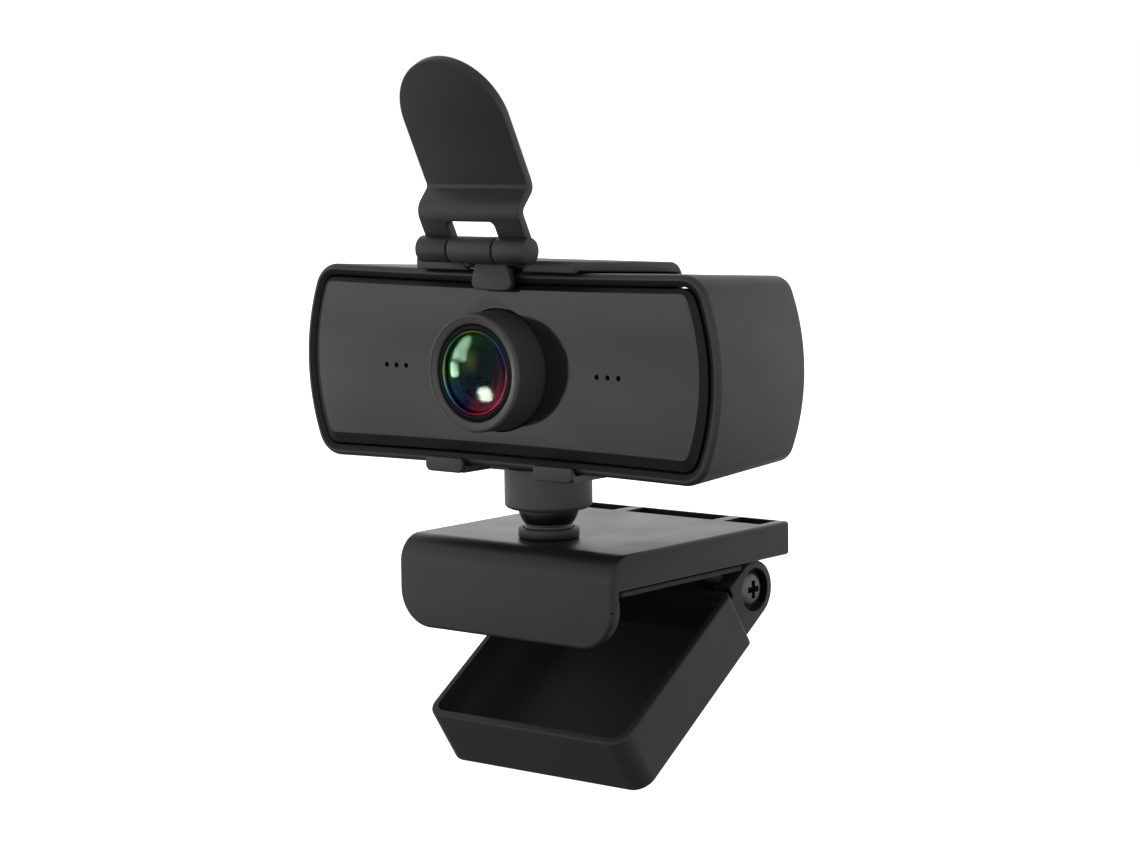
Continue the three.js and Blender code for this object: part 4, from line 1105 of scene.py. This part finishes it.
lip_low, lip_high = span("lip_pad")
lip_outline = rectangle(lip_low.x, lip_high.x, lip_low.z, lip_high.z, (5.2, 5.2, 0.6, 0.6), 14)
lip = soften(prism("front_pad", lip_outline, "Y", lip_low.y, lip_high.y), 0.2)
hand_over(lip, pad_rubber, "clip", "pad_rubber", "lip_pad")

collar_top = span("swivel_collar")[1].z
collar = turned("turntable", [
    (2.75, PLATE_HIGH.z + 0.03),
    (4.35, PLATE_HIGH.z + 0.03),
    (4.62, PLATE_HIGH.z + 0.12),
    (4.70, PLATE_HIGH.z + 0.3),
    (4.70, collar_top - 0.15),
    (4.66, collar_top - 0.05),
    (4.56, collar_top),
    (4.0, collar_top),
    (4.0, 6.75),
    (2.75, 6.75),
], "Z", Vector((0, 0, 0)), 96)
hand_over(collar, cover_plastic, "clip", "bracket_plastic", "swivel_collar", sharp=35)

EAR_OUTER = span("folding_leg")[1].x - 1.1
for side, sign in (("right", 1), ("left", -1)):
    fixing = screw(
        f"{side}_hinge_screw", head_radius=2.75, head_height=1.25, shank_radius=1.45, length=5.3
    )
    turn_about(fixing, "Y", sign * 90, Vector((0, 0, 0)))
    shift(fixing, sign * (EAR_OUTER - 1.5), PIVOT.y, PIVOT.z)
    hand_over(fixing, dark_screw_steel, "clip", "dark_screw_steel", f"{side}_pivot_screw", sharp=30)


# ---------------------------------------------------------------- folding leg
LEG_ANGLE = 34.1
LEG_HALF = span("folding_leg")[1].x
LEG_END = -39.8
LEG_TOP = -5.65
LEG_FACE = 4.8
LEG_BACK = -5.3
LEG_WALL = 1.2
LEG_FLOOR = 1.4
LEG_FILLET = 6.5
EAR_INNER = 15.6
EAR_RADIUS = 4.6


def folding_leg():
    """Drawn flat with its pivot at the origin: +Y towards the pivot, +Z out of the recess."""
    slant = LEG_HALF - EAR_OUTER
    plan = rounded([
        (-LEG_HALF, LEG_END, 3.0),
        (LEG_HALF, LEG_END, 3.0),
        (LEG_HALF, LEG_TOP - slant, 0),
        (EAR_OUTER, LEG_TOP, 0),
        (-EAR_OUTER, LEG_TOP, 0),
        (-LEG_HALF, LEG_TOP - slant, 0),
    ], 14)
    leg = soften(prism("leg_tray", plan, "Z", LEG_BACK, LEG_FACE), 0.4, 4)
    w = LEG_HALF - LEG_WALL
    rings = []
    for rise, inset in arc(0, 0, LEG_FILLET, 0, 90, 10):
        x = w - LEG_FILLET + inset
        y = LEG_END + LEG_WALL + LEG_FILLET - inset
        z = LEG_BACK + LEG_FLOOR + LEG_FILLET - rise
        outline = rectangle(-x, x, y, LEG_TOP - LEG_WALL, (1.9, 1.9, 1, 1), 10)
        rings.append([(a, b, z) for a, b in outline])
    rings.append([(a, b, LEG_FACE + 1) for a, b, _ in rings[-1]])
    cut(leg, skin("recess", rings))
    for sign in (-1, 1):
        x0, x1 = sorted((sign * EAR_INNER, sign * EAR_OUTER))
        strap = [(LEG_TOP - 1.5, -EAR_RADIUS)] + arc(0, 0, EAR_RADIUS, -90, 90, 40)
        strap += [(LEG_TOP + 0.75, EAR_RADIUS), (LEG_TOP + 0.75, 3.0), (LEG_TOP - 1.5, 3.0)]
        join(leg, soften(prism("ear", strap, "X", x0, x1), 0.2))
    for sign in (-1, 1):
        x0, x1 = sorted((sign * (EAR_OUTER - 1.6), sign * (EAR_OUTER + 1)))
        cut(leg, rod("seat", 3.45, "X", x0, x1, 0, 0, 64))
        x0, x1 = sorted((sign * 14.6, sign * (EAR_OUTER + 1)))
        cut(leg, rod("hole", 1.6, "X", x0, x1, 0, 0, 40))
    turn_about(leg, "X", LEG_ANGLE, Vector((0, 0, 0)))
    return shift(leg, 0, PIVOT.y, PIVOT.z)


leg = folding_leg()
hand_over(leg, leg_plastic, "leg", "textured_plastic", "folding_leg", sharp=30)
# Painted shade: faces near the pivot that look forward take the darker, duller plastic.
refinish(leg, shade_painted_plastic, lambda normal, centre: normal.y < -0.7 and centre.y > PIVOT.y - 12)


# ---------------------------------------------------------------- ball joint
neck = arc(0, 0, 4.75, -39, 90, 24)
neck[-1] = (0, 4.75)
stud = turned("ball_and_stem", [
    (0, -7.4),
    (2.1, -7.4),
    (2.1, -4.65),
    (3.75, -4.65),
    (3.8, -4.55),
    (3.8, -3.3),
    (3.76, -3.16),
    (3.7, -3.1),
] + neck, "Z", BALL, 96)
hand_over(stud, ball_plastic, "stud", "ball_plastic", "ball_stud", sharp=40)


# ---------------------------------------------------------------- floor, light and camera
TARGET = Vector((4.4196, 0, 23.4398))
DISTANCE = 424.302
AZIMUTH = 39.217
ELEVATION = 6.402
ROLL = -0.745
FOCAL = 88.31
SENSOR = 36.0


def pale_floor():
    """Large round floor, pale and a little bright by itself."""
    low = cad_box[0] / MM
    floor = prism("floor", arc(0, 0, 4000, 0, 360, 96)[:-1], "Z", low.z - 8.2, low.z - 0.2)
    n = Nodes("floor_paint")
    n.set(
        Base_Color=n.ramp(n.noise(60.0), [(0.3, (0.84, 0.84, 0.84)), (0.7, (0.86, 0.86, 0.86))]),
        Roughness=0.9,
        Specular_IOR_Level=0.1,
        Emission_Color=(1, 1, 1, 1),
        Emission_Strength=1.0,
    )
    floor.data.materials.append(n.material)
    floor.visible_diffuse = False
    floor.visible_glossy = False
    floor.visible_transmission = False
    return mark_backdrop(floor)


LAMP_DISTANCE = 700
MINT = (0.70, 1.0, 0.76)
PINKISH = (1.0, 0.94, 0.95)


def panel_light(name, azimuth, elevation, width, height, power, colour):
    """Soft rectangular light, seen only as a reflection on the front lens.

    The azimuth is as the camera's: 0 is in front of the lens, 90 on the right.
    """
    a, e = math.radians(azimuth), math.radians(elevation)
    away = Vector((math.sin(a) * math.cos(e), -math.cos(a) * math.cos(e), math.sin(e)))
    data = bpy.data.lights.new(name, "AREA")
    data.shape = "RECTANGLE"
    data.size, data.size_y = width * MM, height * MM
    data.energy = power
    data.color = colour
    light = bpy.data.objects.new(name, data)
    light.location = (Vector((0, 0, 25)) + away * LAMP_DISTANCE) * MM
    light.rotation_euler = away.to_track_quat("Z", "Y").to_euler()
    bpy.context.scene.collection.objects.link(light)
    light.light_linking.receiver_collection = lens_only
    light.visible_diffuse = False
    light.visible_transmission = False


# brightness of the tent against the height of the direction looked in
TENT = [
    (-1.0, 0.12), (-0.65, 0.25), (-0.35, 0.78), (-0.14, 1.22),
    (0.0, 1.12), (0.13, 1.4), (0.4, 0.95), (0.7, 0.68), (1.0, 0.6),
]


def light_tent():
    """White behind the object; for light and reflections, a white tent that is darker below."""
    world = bpy.data.worlds.new("tent")
    bpy.context.scene.world = world
    world.use_nodes = True
    tree = world.node_tree
    background = next(n for n in tree.nodes if n.type == "BACKGROUND")
    place = tree.nodes.new("ShaderNodeTexCoord")
    split = tree.nodes.new("ShaderNodeSeparateXYZ")
    half = tree.nodes.new("ShaderNodeMapRange")
    half.inputs["From Min"].default_value = -1.0
    ramp = tree.nodes.new("ShaderNodeValToRGB")
    path = tree.nodes.new("ShaderNodeLightPath")
    mix = tree.nodes.new("ShaderNodeMix")
    mix.data_type = "RGBA"
    elements = ramp.color_ramp.elements
    while len(elements) < len(TENT):
        elements.new(0.5)
    for element, (height, level) in zip(elements, TENT):
        element.position = (height + 1) / 2
        element.color = (level, level, level, 1)
    tree.links.new(place.outputs["Generated"], split.inputs[0])
    tree.links.new(split.outputs["Z"], half.inputs["Value"])
    tree.links.new(half.outputs["Result"], ramp.inputs["Fac"])
    side = tree.nodes.new("ShaderNodeMapRange")
    side.inputs["From Min"].default_value = -0.7
    side.inputs["From Max"].default_value = 0.7
    side.inputs["To Min"].default_value = 1.08
    side.inputs["To Max"].default_value = 0.94
    tree.links.new(split.outputs["X"], side.inputs["Value"])
    scaled = tree.nodes.new("ShaderNodeVectorMath")
    scaled.operation = "SCALE"
    tree.links.new(ramp.outputs["Color"], scaled.inputs[0])
    tree.links.new(side.outputs["Result"], scaled.inputs["Scale"])
    tree.links.new(path.outputs["Is Camera Ray"], mix.inputs["Factor"])
    tree.links.new(scaled.outputs["Vector"], mix.inputs[6])
    mix.inputs[7].default_value = (1, 1, 1, 1)
    tree.links.new(mix.outputs[2], background.inputs["Color"])
    background.inputs["Strength"].default_value = 1.0


def camera():
    a, e = math.radians(AZIMUTH), math.radians(ELEVATION)
    back = Vector((math.sin(a) * math.cos(e), -math.cos(a) * math.cos(e), math.sin(e)))
    data = bpy.data.cameras.new("camera")
    data.sensor_width = SENSOR
    data.lens = FOCAL
    data.clip_start, data.clip_end = 0.02, 20
    eye = bpy.data.objects.new("camera", data)
    eye.location = (TARGET + back * DISTANCE) * MM
    turn = (-back).to_track_quat("-Z", "Y").to_matrix()
    eye.rotation_euler = (turn @ Matrix.Rotation(math.radians(ROLL), 3, "Z")).to_euler()
    bpy.context.scene.collection.objects.link(eye)
    bpy.context.scene.camera = eye


pale_floor()
light_tent()
panel_light("window", -66.2, 15.4, width=400, height=292, power=38.0, colour=MINT)
panel_light("window_sill", -70.7, -3.4, width=229, height=98, power=7.4, colour=MINT)
panel_light("small_box", -28.5, -22.4, width=190, height=150, power=62.0, colour=PINKISH)
camera()
bpy.context.scene.view_settings.view_transform = "Standard"
